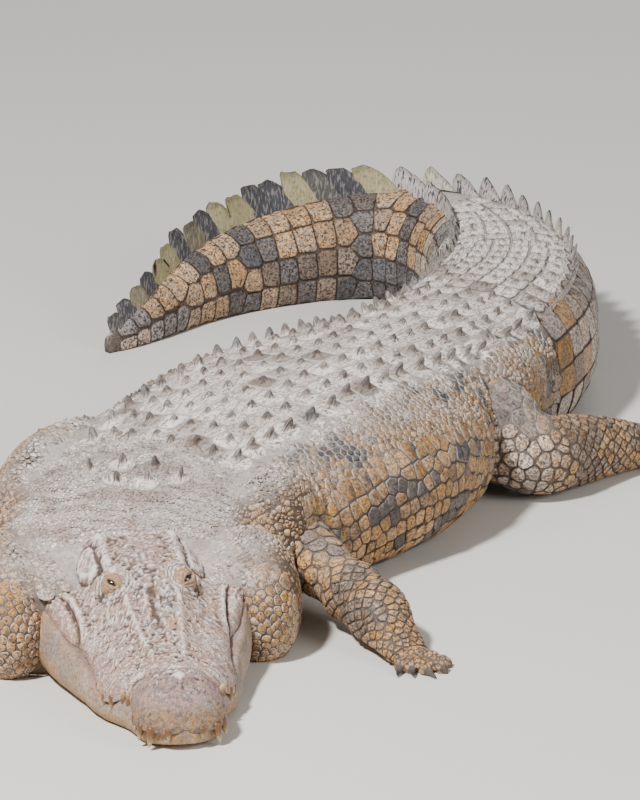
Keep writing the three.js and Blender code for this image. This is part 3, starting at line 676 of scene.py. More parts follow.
def frames(surface, u, v, step=1e-3):
    """Point, slopes along both parameters and outward normal, from central differences of the surface."""
    point = surface(u, v)
    slope_u = (surface(u + step, v) - surface(u - step, v)) / (2 * step)
    slope_v = (surface(u, v + step) - surface(u, v - step)) / (2 * step)
    return point, slope_u, slope_v, unit(np.cross(slope_v, slope_u))


def nearest(points, count):
    """Index of the nearest other points of each point, worked out a block at a time."""
    found = []
    for block in np.array_split(np.arange(len(points)), max(1, len(points) // 400)):
        gap = np.linalg.norm(points[block, None] - points[None], axis=-1)
        found.append(np.argsort(gap, axis=1)[:, 1:count + 1])
    return np.concatenate(found)


def cell_outline(points, along, across, directions, reach):
    """Distance from each seed to its cell's edge, ray by ray: the nearest half-way line to a neighbour."""
    near = nearest(points, min(10, len(points) - 1))
    away = points[near] - points[:, None]
    flat = np.stack([np.einsum("nkc,nc->nk", away, along), np.einsum("nkc,nc->nk", away, across)], -1)
    square = (away ** 2).sum(-1)
    facing = np.einsum("nkc,dc->nkd", flat, directions)
    cut = np.where(facing > 1e-6, square[..., None] / (2 * np.maximum(facing, 1e-6)), np.inf)
    return np.minimum(cut.min(1), reach[:, None])


# profiles from the rim of a scale to its middle: share of the outline, share of the thickness
PLATE = ((1.0, -0.9), (1.0, 0.4), (0.93, 0.85), (0.62, 1.0))
GRAIN = ((1.0, -0.9), (0.97, 0.3), (0.72, 0.88))
BACK_PLATE = ((1, -0.9), (1, 0.2), (0.93, 0.75), (0.7, 1), (0.52, 1), (0.43, 1), (0.35, 1), (0.27, 1),
              (0.18, 1), (0.09, 1))
TAIL_PLATE = ((1, -0.9), (1, 0.6), (0.97, 0.9), (0.75, 1), (0.4, 1))


def scale_faces(count, sides, rings):
    """Faces of like scales: the walls between rings, a fan round the middle of the top, and the base."""
    j = np.arange(sides)
    last = (rings - 1) * sides
    top = np.stack([last + j, last + (j + 1) % sides, np.full(sides, rings * sides)], -1)
    return copies((grid_faces(rings, sides), top, j[::-1][None]), count, rings * sides + 1)


def scale_coat(name, surface, marker, seeds, material, chart, slot="flank_skin", thick=3 * MM, groove=2 * MM,
               reach=40 * MM, sides=14, profile=PLATE, keel=None, crease=0.3, step=1e-3, corner=2, tilt=0.05,
               seed=1):
    """Solid scales over a surface. A scale's outline is its cell, drawn in by the groove: one width, or one
    across the rows and one along them. Its height follows the profile from rim to middle, with a keel added
    where one is given. Dust does not lie on keels."""
    u, v = seeds
    rng = np.random.default_rng(seed)
    point, slope_u, slope_v, normal = frames(surface, u, v, step)
    along = unit(slope_u)
    across = unit(np.cross(normal, along))
    angle = np.arange(sides) / sides * 2 * np.pi
    rays = np.stack([np.cos(angle), np.sin(angle)], -1)
    reach = np.broadcast_to(reach, u.shape)
    outline = cell_outline(point, along, across, rays, reach)
    inner = outline.min(1, keepdims=True)
    groove = np.abs(rays) @ np.broadcast_to(groove, 2)
    outline = outline * np.clip(1 - 0.5 * groove / np.maximum(inner, 1e-5), 0.35, 1)
    beside = np.roll(outline, 1, 1) + np.roll(outline, -1, 1)
    outline = np.minimum(outline, (beside + corner * outline) / (2 + corner))
    share = np.array([ring[0] for ring in profile] + [0])
    level = np.array([ring[1] for ring in profile] + [1.04])
    offset = outline[:, None, :, None] * share[None, :-1, None, None] * rays[None, None]
    offset = np.concatenate([offset.reshape(len(u), -1, 2), np.zeros((len(u), 1, 2))], 1)
    ring_of = np.concatenate([np.repeat(np.arange(len(profile)), sides), [len(profile)]])
    thickness = np.broadcast_to(thick, u.shape) * rng.uniform(0.8, 1.2, len(u))
    rise = level[ring_of][None] * thickness[:, None]
    mean = outline.mean(1, keepdims=True)
    x, y = offset[..., 0] / mean, offset[..., 1] / mean
    horn = keel(x, y) * (share[ring_of] < 0.97) if keel else 0 * rise
    rise = rise + horn
    lean = rng.normal(0, tilt, (len(u), 2)) * mean
    rise = rise + (x * lean[:, :1] + y * lean[:, 1:]) * (level[ring_of] > 0)
    # the slopes turn a step on the tangent plane into a step of the two parameters
    basis = along[:, None] * offset[..., :1] + across[:, None] * offset[..., 1:]
    uu, vv, both = (slope_u ** 2).sum(-1), (slope_v ** 2).sum(-1), (slope_u * slope_v).sum(-1)
    du, dv = np.einsum("nkc,nc->nk", basis, slope_u), np.einsum("nkc,nc->nk", basis, slope_v)
    whole = np.maximum(uu * vv - both ** 2, 1e-12)[:, None]
    step_u = (du * vv[:, None] - dv * both[:, None]) / whole
    step_v = (dv * uu[:, None] - du * both[:, None]) / whole
    at_u, at_v = u[:, None] + step_u, v[:, None] + step_v
    away = surface(at_u, at_v) + normal[:, None] * rise[..., None] - point[:, None]
    far = np.linalg.norm(away, axis=-1) / (1.4 * reach[:, None])
    vertices = point[:, None] + away / np.maximum(far, 1)[..., None]
    vertices[..., 2] = np.maximum(vertices[..., 2], FLOOR)
    marks, speckle = marker(u, v, point)
    bare = np.clip(horn / (7 * MM), 0, 1)[..., None] * [0.85, 0.5, -1, 0]
    marks = marks[:, None] * np.where(bare < 0, 1 + 0.85 * bare, 1) + np.maximum(bare, 0)
    chance = np.repeat(rng.uniform(0, 1, len(u))[:, None], vertices.shape[1], 1)
    # Crease tone of the rims: low values give the dark crease colour, which is partly painted shade in the
    # grooves, and high values give the pale rim colour.
    tone = np.broadcast_to(np.asarray(crease, float), u.shape)[:, None] + 0 * chance
    rim = np.broadcast_to(share[ring_of], chance.shape)
    cells = np.stack([chance, rim, tone, speckle[:, None] + 0 * chance], -1)
    faces = scale_faces(len(u), sides, len(profile))
    piece = build_mesh(name, vertices.reshape(-1, 3), faces, marks.reshape(-1, 4), cells.reshape(-1, 4),
                       material, chart(at_u, at_v).reshape(-1, 2))
    return finish_piece(piece, slot)


def body_chart(u, v):
    """Unwrap of the body: distance along the midline and angle round it."""
    return np.stack([0.01 + 0.98 * u / (TAIL_TIP * MM), 0.5 + v / (2.1 * np.pi)], -1)


def strip_chart(index, count, length):
    """Unwrap of one limb or toe of a count of them: each has its own strip of the map."""
    return lambda u, v: np.stack([0.02 + 0.96 * u / length, (index + 0.5 + v / (2.3 * np.pi)) / count], -1)


def body_coat(name, seeds, look="scale", slot="flank_skin", **shape):
    """Scales on neck, trunk or tail, with the body's markings and unwrap."""
    return scale_coat(name, body, body_marks, seeds, material(look), body_chart, slot, **shape)


def knobs(chosen, height, spread):
    """Keel that puts a rounded knob on the chosen scales: a Gaussian of the distance from the middle."""
    return lambda x, y: chosen[:, None] * height * np.exp(-(x ** 2 + y ** 2) / spread)


def body_angles(s, distance):
    """Angle round the body at a signed distance from the top, measured round the section of each s."""
    phi = np.linspace(0, np.pi, 241)
    angles = np.empty_like(distance)
    for hand in (1, -1):
        rim = body(s[:, None], hand * phi[None])
        gaps = np.linalg.norm(np.diff(rim, axis=1), axis=-1)
        walked = np.concatenate([np.zeros((len(s), 1)), np.cumsum(gaps, 1)], 1)
        for row in range(len(s)):
            mine = distance[row] * hand >= 0
            angles[row, mine] = hand * np.interp(np.abs(distance[row, mine]), walked[row], phi)
    return angles


def spread_seeds(surface, u_range, v_range, size, count, seed, keep):
    """Seeds an even distance apart, which may vary over the surface: random points that push each other."""
    rng = np.random.default_rng(seed)
    u, v = rng.uniform(*u_range, count * 6), rng.uniform(*v_range, count * 6)
    point, slope_u, slope_v, _ = frames(surface, u, v)
    area = np.linalg.norm(np.cross(slope_u, slope_v), axis=-1)
    wanted = area / size(u, v) ** 2 * keep(u, v)
    picked = rng.choice(len(u), count, replace=False, p=wanted / wanted.sum())
    u, v = u[picked], v[picked]
    for _ in range(9):
        point, slope_u, slope_v, _ = frames(surface, u, v)
        near = nearest(point, 7)
        away = point[:, None] - point[near]
        gap = np.linalg.norm(away, axis=-1, keepdims=True)
        wish = size(u, v)[:, None, None]
        push = (away / np.maximum(gap, 1e-6) * np.clip(wish * 1.12 - gap, 0, None)).sum(1) * 0.42
        u = u + np.einsum("nc,nc->n", push, slope_u) / np.maximum((slope_u ** 2).sum(-1), 1e-9)
        v = v + np.einsum("nc,nc->n", push, slope_v) / np.maximum((slope_v ** 2).sum(-1), 1e-9)
        u, v = np.clip(u, *u_range), np.clip(v, *v_range)
    good = keep(u, v) > 0.02
    return u[good], v[good]


# ---- materials ------------------------------------------------------------------------------

def linear(code):
    """Linear colour with alpha 1 from an sRGB hex code."""
    values = [int(code[i:i + 2], 16) / 255 for i in (1, 3, 5)]
    return tuple(c / 12.92 if c <= 0.04045 else ((c + 0.055) / 1.055) ** 2.4 for c in values) + (1.0,)


def add_node(tree, kind, values=None, links=None, **settings):
    """Adds one node: settings are its properties, values its constant inputs, links its connected ones."""
    node = tree.nodes.new("ShaderNode" + kind)
    for key, value in settings.items():
        setattr(node, key, value)
    for key, value in (values or {}).items():
        node.inputs[key].default_value = value
    for key, source in (links or {}).items():
        tree.links.new(source, node.inputs[key])
    return node


def new_material(name):
    """A material, its tree and its shader, and the place on the object that its patterns read."""
    material = bpy.data.materials.new(name)
    material.use_nodes = True
    tree = material.node_tree
    tree.nodes.clear()
    shader = add_node(tree, "BsdfPrincipled")
    add_node(tree, "OutputMaterial", links={"Surface": shader.outputs[0]})
    return material, tree, shader, add_node(tree, "TexCoord").outputs["Object"]


def attribute(tree, name):
    """The four channels of a mesh's attribute."""
    node = add_node(tree, "Attribute", attribute_name=name)
    parts = add_node(tree, "SeparateColor", links={0: node.outputs["Color"]}).outputs
    return parts[0], parts[1], parts[2], node.outputs["Alpha"]


def feed(tree, sockets, values):
    """Gives each socket its value, which is a constant or the output of another node."""
    for socket, value in zip(sockets, values):
        if isinstance(value, bpy.types.NodeSocket):
            tree.links.new(value, socket)
        else:
            socket.default_value = value


def mix_colour(tree, factor, a, b, blend="MIX"):
    """Output of a colour mix."""
    node = add_node(tree, "Mix", data_type="RGBA", blend_type=blend)
    feed(tree, (node.inputs[0], node.inputs[6], node.inputs[7]), (factor, a, b))
    return node.outputs[2]


def maths(tree, operation, a, b=0.0, c=0.0, clamp=False):
    """Output of a Math node."""
    node = add_node(tree, "Math", operation=operation, use_clamp=clamp)
    feed(tree, node.inputs, (a, b, c))
    return node.outputs[0]


def ramp(tree, value, low, high):
    """0 below low, 1 above high, smooth between."""
    limits = {1: low, 2: high, 3: 0.0, 4: 1.0}
    return add_node(tree, "MapRange", limits, {0: value}, interpolation_type="SMOOTHSTEP").outputs[0]


def grain(tree, spot, millimetres, detail=2.0, rough=0.55, distort=0.0):
    """Noise whose features are about the given size."""
    values = {"Scale": 1000 / millimetres, "Detail": detail, "Roughness": rough, "Distortion": distort}
    return add_node(tree, "TexNoise", values, {"Vector": spot}).outputs["Fac"]


def off_middle(tree, field):
    """How far a noise is from its middle value: 0 along thin winding lines."""
    return maths(tree, "ABSOLUTE", maths(tree, "SUBTRACT", field, 0.5))


def raise_by(tree, shader, height, millimetres, strength=0.8):
    """Bump of the given depth for a height from 0 to 1."""
    bump = add_node(tree, "Bump", {"Strength": strength, "Distance": millimetres * MM}, {"Height": height})
    tree.links.new(bump.outputs[0], shader.inputs["Normal"])


def hide_material(colours, name, wrinkle, raised=False, along=False):
    """Reptile hide: dry keratin, dull and slightly uneven in gloss, dusted with pale mud.

    Tan, slate, pink and dust come from the marks of the mesh, and each scale's tone and rim from its cells.
    Fine lines run where a noise passes its middle value. On bare hide they are raised and pale, as strong as
    the tone of the cells says. On horny scales they are cracks. On the back they run along the body, by the
    unwrap, and pale scratches lie between them in the dust.
    """
    material, tree, shader, spot = new_material(name)
    mark, cell = attribute(tree, "marks"), attribute(tree, "cells")
    pink, speckle = mark[3], cell[3]
    mottle = grain(tree, spot, 26, 4, 0.6)
    small = grain(tree, spot, 7, 3, 0.6)
    tiny = grain(tree, spot, 2.2, 2, 0.6)
    base = mix_colour(tree, mark[1], linear(colours.grey), linear(colours.tan))
    warm_spots = maths(tree, "MULTIPLY", ramp(tree, mottle, 0.44, 0.6), mark[1])
    base = mix_colour(tree, warm_spots, base, linear(colours.amber))
    base = mix_colour(tree, maths(tree, "MULTIPLY", pink, 0.75), base, linear(colours.pink))
    uneven = maths(tree, "MULTIPLY_ADD", ramp(tree, mottle, 0.3, 0.5), 0.25, 0.75)
    base = mix_colour(tree, maths(tree, "MULTIPLY", mark[0], uneven), base, linear(colours.slate))
    dust = maths(tree, "MULTIPLY", mark[2], ramp(tree, small, 0.28, 0.55))
    base = mix_colour(tree, maths(tree, "MULTIPLY", dust, 0.95), base, linear(colours.dust))
    dark_spots = maths(tree, "MULTIPLY", ramp(tree, grain(tree, spot, 6, 2, 0.5), 0.56, 0.6), speckle)
    base = mix_colour(tree, maths(tree, "MULTIPLY", dark_spots, 0.85), base, linear(colours.black))
    tone = maths(tree, "MULTIPLY_ADD", tiny, 0.8, maths(tree, "MULTIPLY_ADD", small, 1.6, -0.18))
    if not raised:
        tone = maths(tree, "MULTIPLY", tone, maths(tree, "MULTIPLY_ADD", cell[0], 0.36, 0.82))
    shade = add_node(tree, "CombineColor", links={0: tone, 1: tone, 2: tone}).outputs[0]
    base = mix_colour(tree, 1.0, base, shade, "MULTIPLY")
    way = spot
    if along:
        unwrapped = add_node(tree, "UVMap", uv_map="OFBake").outputs[0]
        way = add_node(tree, "Mapping", {"Scale": (0.8, 1.3, 1)}, {"Vector": unwrapped}).outputs[0]
    off_line = off_middle(tree, grain(tree, way, wrinkle, 1.5, 0.5, 0.8))
    line = ramp(tree, off_line, 0.075 if raised else 0.045, 0.015)
    if raised:
        line = maths(tree, "MULTIPLY", line, cell[0])
        # Darker between the raised lines: painted shade in the furrows.
        between = maths(tree, "MULTIPLY", maths(tree, "SUBTRACT", cell[0], line), 0.42)
        base = mix_colour(tree, between, base, linear(colours.crease))
        base = mix_colour(tree, maths(tree, "MULTIPLY", line, 0.62), base, linear(colours.rim))
    else:
        base = mix_colour(tree, maths(tree, "MULTIPLY", line, 0.6), base, linear(colours.crease))
    if along:
        scratch = off_middle(tree, grain(tree, way, wrinkle * 0.8, 1.0, 0.5, 1.2))
        scratch = maths(tree, "MULTIPLY", ramp(tree, scratch, 0.06, 0.02), mark[2])
        base = mix_colour(tree, maths(tree, "MULTIPLY", scratch, 0.95), base, linear(colours.rim))
    # Rims of scales and the hide between them take the crease colour where their tone is low, which is partly
    # painted shade in the grooves, and the pale rim colour where it is high. On the head and the lids this
    # mix paints the shade in the furrows and the highlight on the crests.
    rim_colour = mix_colour(tree, cell[2], linear(colours.crease), linear(colours.rim))
    rim = maths(tree, "MULTIPLY", ramp(tree, cell[1], 0.86, 1.0), 0.85)
    base = mix_colour(tree, rim, base, rim_colour)
    tree.links.new(base, shader.inputs["Base Color"])
    rough = maths(tree, "MULTIPLY_ADD", small, 0.2, 0.52)
    rough = maths(tree, "MULTIPLY_ADD", dust, 0.22, rough, clamp=True)
    tree.links.new(rough, shader.inputs["Roughness"])
    shader.inputs["Specular IOR Level"].default_value = 0.38
    height = maths(tree, "MULTIPLY_ADD", line, 1.0 if raised else -0.6, maths(tree, "MULTIPLY", small, 0.8))
    raise_by(tree, shader, maths(tree, "MULTIPLY_ADD", tiny, 0.35, height), 1.3)
    return material


def crest_material(colours):
    """Crest blades: thin horn ribbed towards the tip, slate, or yellowish where light comes through it."""
    material, tree, shader, spot = new_material("Ribbed crest horn")
    cell = attribute(tree, "cells")
    mottle = grain(tree, spot, 9, 4, 0.65)
    tiny = grain(tree, spot, 2, 2)
    stretched = add_node(tree, "Mapping", {"Scale": (1, 1, 0.22)}, {"Vector": spot}).outputs[0]
    ribs = grain(tree, stretched, 4.5, 2, 0.5)
    base = mix_colour(tree, ramp(tree, cell[0], 0.35, 0.65), linear(colours.slate), linear(colours.straw))
    stain = maths(tree, "MULTIPLY", ramp(tree, mottle, 0.5, 0.62), 0.4)
    base = mix_colour(tree, stain, base, linear(colours.black))
    settled = maths(tree, "MULTIPLY_ADD", cell[2], 0.17, ribs)
    share = maths(tree, "MULTIPLY_ADD", cell[2], 0.65, 0.15)
    dust = maths(tree, "MULTIPLY", ramp(tree, settled, 0.52, 0.66), share)
    base = mix_colour(tree, dust, base, linear(colours.dust))
    tips = maths(tree, "MULTIPLY", ramp(tree, cell[1], 0.75, 1.0), 0.5)
    base = mix_colour(tree, tips, base, linear(colours.black))
    tree.links.new(base, shader.inputs["Base Color"])
    shader.inputs["Roughness"].default_value = 0.55
    shader.inputs["Specular IOR Level"].default_value = 0.4
    raise_by(tree, shader, maths(tree, "MULTIPLY_ADD", tiny, 0.3, ribs), 1.6)
    return material


def horn_material(name, dark, light, rough):
    """Claw horn and tooth dentine: glossy, streaked lengthways, lighter towards the root or the tip."""
    material, tree, shader, spot = new_material(name)
    cell = attribute(tree, "cells")
    streak = grain(tree, spot, 3, 3, 0.6)
    share = maths(tree, "MULTIPLY_ADD", streak, 0.5, maths(tree, "MULTIPLY", cell[1], 0.7), clamp=True)
    base = mix_colour(tree, ramp(tree, share, 0.25, 0.7), linear(dark), linear(light))
    tree.links.new(base, shader.inputs["Base Color"])
    shader.inputs["Roughness"].default_value = rough
    raise_by(tree, shader, streak, 0.3, 0.5)
    return material


def eye_material():
    """Wet eye: an amber iris with fine rays, a black slit pupil and a clear, glossy outer coat."""
    material, tree, shader, spot = new_material("Wet amber eye")
    cell = attribute(tree, "cells")
    rays = grain(tree, spot, 1.5, 3, 0.6)
    iris = mix_colour(tree, ramp(tree, rays, 0.35, 0.65), linear("#22170C"), linear("#4C3717"))
    pupil = ramp(tree, cell[0], 0.55, 0.45)
    base = mix_colour(tree, pupil, iris, linear("#060504"))
    base = mix_colour(tree, ramp(tree, cell[1], 0.62, 0.8), base, linear("#1C1610"))
    tree.links.new(base, shader.inputs["Base Color"])
    shader.inputs["Roughness"].default_value = 0.12
    shader.inputs["IOR"].default_value = 1.38
    shader.inputs["Coat Weight"].default_value = 1.0
    shader.inputs["Coat Roughness"].default_value = 0.03
    return material


def floor_material(colour):
    """Matt studio paper: even and pale, with no gloss."""
    material, tree, shader, spot = new_material("Matt studio paper")
    fibre = grain(tree, spot, 4, 2)
    tone = mix_colour(tree, maths(tree, "MULTIPLY", fibre, 0.06), linear(colour), linear("#BDB9B2"))
    tree.links.new(tone, shader.inputs["Base Color"])
    shader.inputs["Roughness"].default_value = 0.9
    return material


# ---- settings that a user would change --------------------------------------------------------

class CrocodileColours(bpy.types.PropertyGroup):
    """Colours of the hide and of what grows from it, as sRGB hex codes."""
    grey: bpy.props.StringProperty(name="Back", description="Hide of back and neck", default="#8D8077")
    tan: bpy.props.StringProperty(name="Flank", description="Hide of flanks and legs", default="#A07C52")
    amber: bpy.props.StringProperty(name="Amber", description="Warmer spots on the flank", default="#BE8B4C")
    pink: bpy.props.StringProperty(name="Pink", description="Bare hide of head and nape", default="#A98379")
    slate: bpy.props.StringProperty(name="Slate", description="Dark blotches", default="#46474D")
    black: bpy.props.StringProperty(name="Speckle", description="Black speckles", default="#2B231D")
    dust: bpy.props.StringProperty(name="Dust", description="Dried pale mud", default="#DBD0C9")
    # Crease is dark hide between scales and also painted shade: it darkens grooves, gaps and furrows. Rim is
    # the pale rim of a scale, and on the head and the lids it is also the painted highlight on the crests.
    crease: bpy.props.StringProperty(name="Crease", description="Dark hide between scales", default="#35281F")
    rim: bpy.props.StringProperty(name="Rim", description="Pale rim of a scale", default="#F2E7E0")
    straw: bpy.props.StringProperty(name="Straw", description="Thin horn, sunlit", default="#A39A72")
    floor: bpy.props.StringProperty(name="Floor", description="Studio paper", default="#D9D6D0")


class CrocodileScales(bpy.types.PropertyGroup):
    """Sizes of the scales."""
    back_pitch: bpy.props.FloatProperty(
        name="Back rows", description="Length of one row of back plates", default=0.066, unit="LENGTH")
    back_width: bpy.props.FloatProperty(
        name="Back plate", description="Width of a back plate", default=0.055, unit="LENGTH")
    keel: bpy.props.FloatProperty(
        name="Keel", description="Height of the keels of the back", default=0.019, unit="LENGTH")
    flank: bpy.props.FloatProperty(
        name="Flank", description="Pitch of the scales of the flank", default=0.030, unit="LENGTH")
    nape: bpy.props.FloatProperty(
        name="Nape", description="Pitch of the grains on the neck", default=0.0125, unit="LENGTH")
    jowl: bpy.props.FloatProperty(
        name="Jowl", description="Pitch of the scales on the jowls", default=0.027, unit="LENGTH")
    thickness: bpy.props.FloatProperty(
        name="Thickness", description="Height of a flank scale over the hide", default=0.0038, unit="LENGTH")


def colours():
    """Colours that the user has set."""
    return bpy.context.scene.crocodile_colours


def sizes():
    """Sizes that the user has set."""
    return bpy.context.scene.crocodile_scales


def material(name):
    """One of the crocodile's materials, made the first time that it is asked for."""
    made = {
        "hide": lambda: hide_material(colours(), "Wrinkled crocodile hide", 10, raised=True),
        "scale": lambda: hide_material(colours(), "Dry horny scale", 11),
        "back": lambda: hide_material(colours(), "Dusty back plate", 9, along=True),
        "crest": lambda: crest_material(colours()),
        "claw": lambda: horn_material("Dark claw horn", "#1C1B1B", "#57504A", 0.38),
        "tooth": lambda: horn_material("Stained tooth dentine", "#C6AF80", "#6E4A2A", 0.34),
        "eye": eye_material,
        "floor": lambda: floor_material(colours().floor),
    }
    key = "crocodile_" + name
    if key not in bpy.context.scene:
        bpy.context.scene[key] = made[name]().name
    return bpy.data.materials[bpy.context.scene[key]]


# ---- pieces -----------------------------------------------------------------------------------

FLESH = ["head", "lower_jaw", "neck", "trunk", "tail_1", "tail_2", "tail_3", "tail_4"]
FLESH += [f"{leg}_{part}" for leg in LEGS for part in ("upper", "lower", "foot")]


def cell_rows(speckle, lines, rim, crease):
    """Cells attribute of bare hide: strength of the fine lines, rim share, crease tone and speckles."""
    return np.stack(np.broadcast_arrays(lines, rim, crease, speckle), -1)


def ring_angles(count):
    """Angles round a ring, from the underside and back to it."""
    return np.linspace(-np.pi, np.pi, count, endpoint=False)


def body_stops():
    """Distances of the rings: fine round the front of the jowls, coarser towards the tail."""
    spacing = smooth_curve([0.44, 0.48, 0.60, 0.95, 1.3, 4.25], np.array([5, 8, 10, 15, 18, 18]) * MM)
    stops = [0.446]
    while stops[-1] < TAIL_TIP * MM:
        stops.append(stops[-1] + float(spacing(stops[-1])))
    return np.array(stops[:-1] + [TAIL_TIP * MM])


def gaze_frame(hand):
    """Centre of an eye, the way it looks, and the directions along its slit and up across it."""
    centre = place(np.array(EYE_BACK * MM), hand * EYE_SIDE * MM, EYE_HEIGHT * MM)
    ahead = np.array([math.sin(HEAD_TURN), math.cos(HEAD_TURN), 0])
    left = np.array([math.cos(HEAD_TURN), -math.sin(HEAD_TURN), 0]) * hand
    gaze = unit(-0.72 * ahead + 0.34 * left + np.array([0, 0, 0.6]))
    slit = unit(np.cross(gaze, np.cross(-0.69 * ahead - 0.6 * left - np.array([0, 0, 0.33]), gaze)))
    return centre, gaze, slit, np.cross(gaze, slit) * hand


def eyelids(hand):
    """Lids: a shell round the eye that is open along a pointed slit, with folds that run round the slit."""
    centre, gaze, slit, rise = gaze_frame(hand)
    around, rings = 56, 26
    lon = np.linspace(0, 2 * np.pi, around, endpoint=False)[:, None]
    ring = np.linspace(0, 1, rings)[None]
    opening = (np.abs(np.cos(lon) / 0.56) ** 1.5 + np.abs(np.sin(lon) / 0.2) ** 1.5) ** (-1 / 1.5)
    polar = opening + (1.95 - opening) * ring ** 1.3
    from_edge = polar - opening
    uneven = noise(np.stack([np.cos(lon) * polar, np.sin(lon) * polar, 0 * polar + hand], -1), 0.42, 19)
    folds = 1.1 * np.cos((from_edge + 0.3 * uneven) / 0.34 * 2 * np.pi) * np.exp(-from_edge / 1.2)
    swell = 1.6 + 3.2 * ease(0, 0.2, from_edge) + folds * ease(0, 0.1, from_edge)
    outer = EYE_RADIUS + swell * ease(2.0, 1.5, polar)
    inner = np.full_like(outer, EYE_RADIUS + 0.3)
    radius = np.concatenate([outer, inner[:, ::-1]], 1) * MM
    polar = np.concatenate([polar, polar[:, ::-1]], 1)
    way = (gaze * np.cos(polar)[..., None] + (slit * np.cos(lon)[..., None] + rise * np.sin(lon)[..., None])
           * np.sin(polar)[..., None])
    points = centre + way * radius[..., None]
    faces = grid_faces(around + 1, 2 * rings) % (around * 2 * rings)
    from_edge = np.concatenate([from_edge, from_edge[:, ::-1]], 1)
    folds = np.concatenate([folds, folds[:, ::-1]], 1)
    tone = np.exp(-from_edge / 0.5)
    # Slate in the troughs of the folds is painted shade.
    marks = np.stack([0.8 * np.exp(-from_edge / 0.06) + 0.15 * tone + 0.25 * (folds < -0.3), 0.7 + 0.3 * tone,
                      0 * tone, 0.3 * (1 - tone)], -1)
    beyond = ease(0.12, 0.3, from_edge)
    # Where the folds are deep, the rim mix paints them: the pale rim colour on their crests is a painted
    # highlight, and the dark crease colour in their troughs is painted shade.
    cells = cell_rows(0.0, 0.3, 0.86 + 0.05 * beyond * np.clip(np.abs(folds), 0, 1), (folds > 0.7) * beyond)
    vertices = points.reshape(-1, 3)
    return vertices, outward(vertices, [faces]), marks.reshape(-1, 4), cells.reshape(-1, 4)


# Density of the hide: quads round the body, a leg, a jowl front and a toe.
BODY_ROUND, LEG_ROUND, JOWL_ROUND, TOE_ROUND = 96, 36, 48, 14
# Rings along the head, a leg, a jowl front and a toe.
HEAD_RINGS, LEG_RINGS, JOWL_RINGS, TOE_RINGS = 238, 48, 20, 15
# Columns on one half of the head: up to the lip, over the lip and from there to the throat.
HALF_HEAD = (100, 8, 18)
# Smoothing passes for the near and the far mean of the relief of the head.
NEAR_PASSES, FAR_PASSES = 4, 26


class OBJECT_OT_crocodile_skin(bpy.types.Operator):
    """One hide for head, neck, trunk, tail, legs and toes, from closed surfaces of two parameters."""
    bl_idname = "object.crocodile_skin"
    bl_label = "Skin"

    def execute(self, context):
        parts = []

        def add(surface, marker, u, v, looks):
            """Adds a closed surface over a grid of its two parameters."""
            u, v = np.meshgrid(u, v, indexing="ij")
            points = surface(u, v)
            marks, speckle = marker(u, v, points)
            cells = cell_rows(speckle, *looks(u, v, marks))
            vertices, faces, marks, cells = closed_tube(points, marks, cells)
            parts.append((vertices, outward(vertices, faces), marks, cells))

        def covered(u, v, marks):
            """Hide between scales: dark on tan parts, partly as painted shade in the gaps, and paler on the
            dusty back.
            """
            return 0.3, 0.95 + 0.05 * marks[..., 1], 0.35 - 0.33 * marks[..., 1]

        add(body, body_marks, body_stops(), ring_angles(BODY_ROUND), covered)
        edges = zip((0, LIP, JAW_TOP), (LIP, JAW_TOP, 1), HALF_HEAD)
        half = np.unique(np.concatenate([np.linspace(*edge) for edge in edges]))
        add(head, head_marks, self.head_stops(), np.concatenate([-half[:0:-1], half[:-1]]), self.head_lines_and_painted_light)
        for lobe in LOBES[:2]:
            add(*jowl_front(lobe), np.linspace(0.03, 1.3, JOWL_RINGS), ring_angles(JOWL_ROUND), covered)
        for name, leg in LEGS.items():
            marker = limb_marker(name.startswith("hind"), leg[0])
            rings = np.linspace(0, LIMB_END, LEG_RINGS)
            add(limb_surface(leg[1]), marker, rings, ring_angles(LEG_ROUND), covered)
            rings = np.linspace(0, 1.08, TOE_RINGS)
            for index in range(leg[2][0]):
                add(toe_surface(leg, index), toe_marks, rings, ring_angles(TOE_ROUND), covered)
        for hand in (1, -1):
            parts.append(eyelids(hand))
        shift = np.cumsum([0] + [len(part[0]) for part in parts[:-1]])
        faces = [f + n for part, n in zip(parts, shift) for f in part[1]]
        vertices, marks, cells = (np.concatenate([part[n] for part in parts]) for n in (0, 2, 3))
        finish_piece(build_mesh("skin", vertices, faces, marks, cells, material("hide")), "back_skin", *FLESH)
        return {"FINISHED"}

    @staticmethod
    def head_stops():
        """Roots of the distances from the tip that lay the rings evenly along the outline of the head."""
        q = np.linspace(0, _root[-1], 2000)
        walked = np.cumsum(np.hypot(np.hypot(np.gradient(head_back(q)), np.gradient(upper_jaw(q))),
                                    np.gradient(crown(q))))
        return np.interp(np.linspace(walked[0], walked[-1], HEAD_RINGS), walked, q)

    @staticmethod
    def head_lines_and_painted_light(q, v, _):
        """Fine lines above the lip, and painted light from the relief less its mean nearby: painted shade in
        the furrows and a painted highlight on the crests.
        """
        relief = head_detail(q, v)[-1]
        upper = ease(LIP + 0.03, LIP - 0.02, np.abs(v))
        means = [relief]
        for _ in range(FAR_PASSES):
            last = means[-1]
            means.append(sum(np.roll(last, way, axis) for axis in (0, 1) for way in (1, -1)) / 4)
        # Painted light: where the relief stands above its nearby means it gets a painted highlight, and where
        # it lies below them it gets painted shade.
        painted_light_and_shade = (relief - means[NEAR_PASSES]) / 1.3 + (means[NEAR_PASSES] - means[FAR_PASSES]) / 4.5
        painted_light_and_shade = np.clip(painted_light_and_shade, -1, 1) * upper * ease(2, 6, q)
        lines = (0.06 + 0.3 * upper) * (1 - 0.6 * ease(11.8, 10.6, q))
        shade = np.where(painted_light_and_shade > 0, 0.11, 0.13) * np.clip(np.abs(painted_light_and_shade) * 1.4 - 0.25, 0, 1)
        return lines, 0.86 + shade, painted_light_and_shade > 0


def toe_marks(u, angle, points):
    """Markings of a toe: those of a leg close to its end."""
    return limb_marker(False, 1)(4.6 + 0 * u, angle, points)


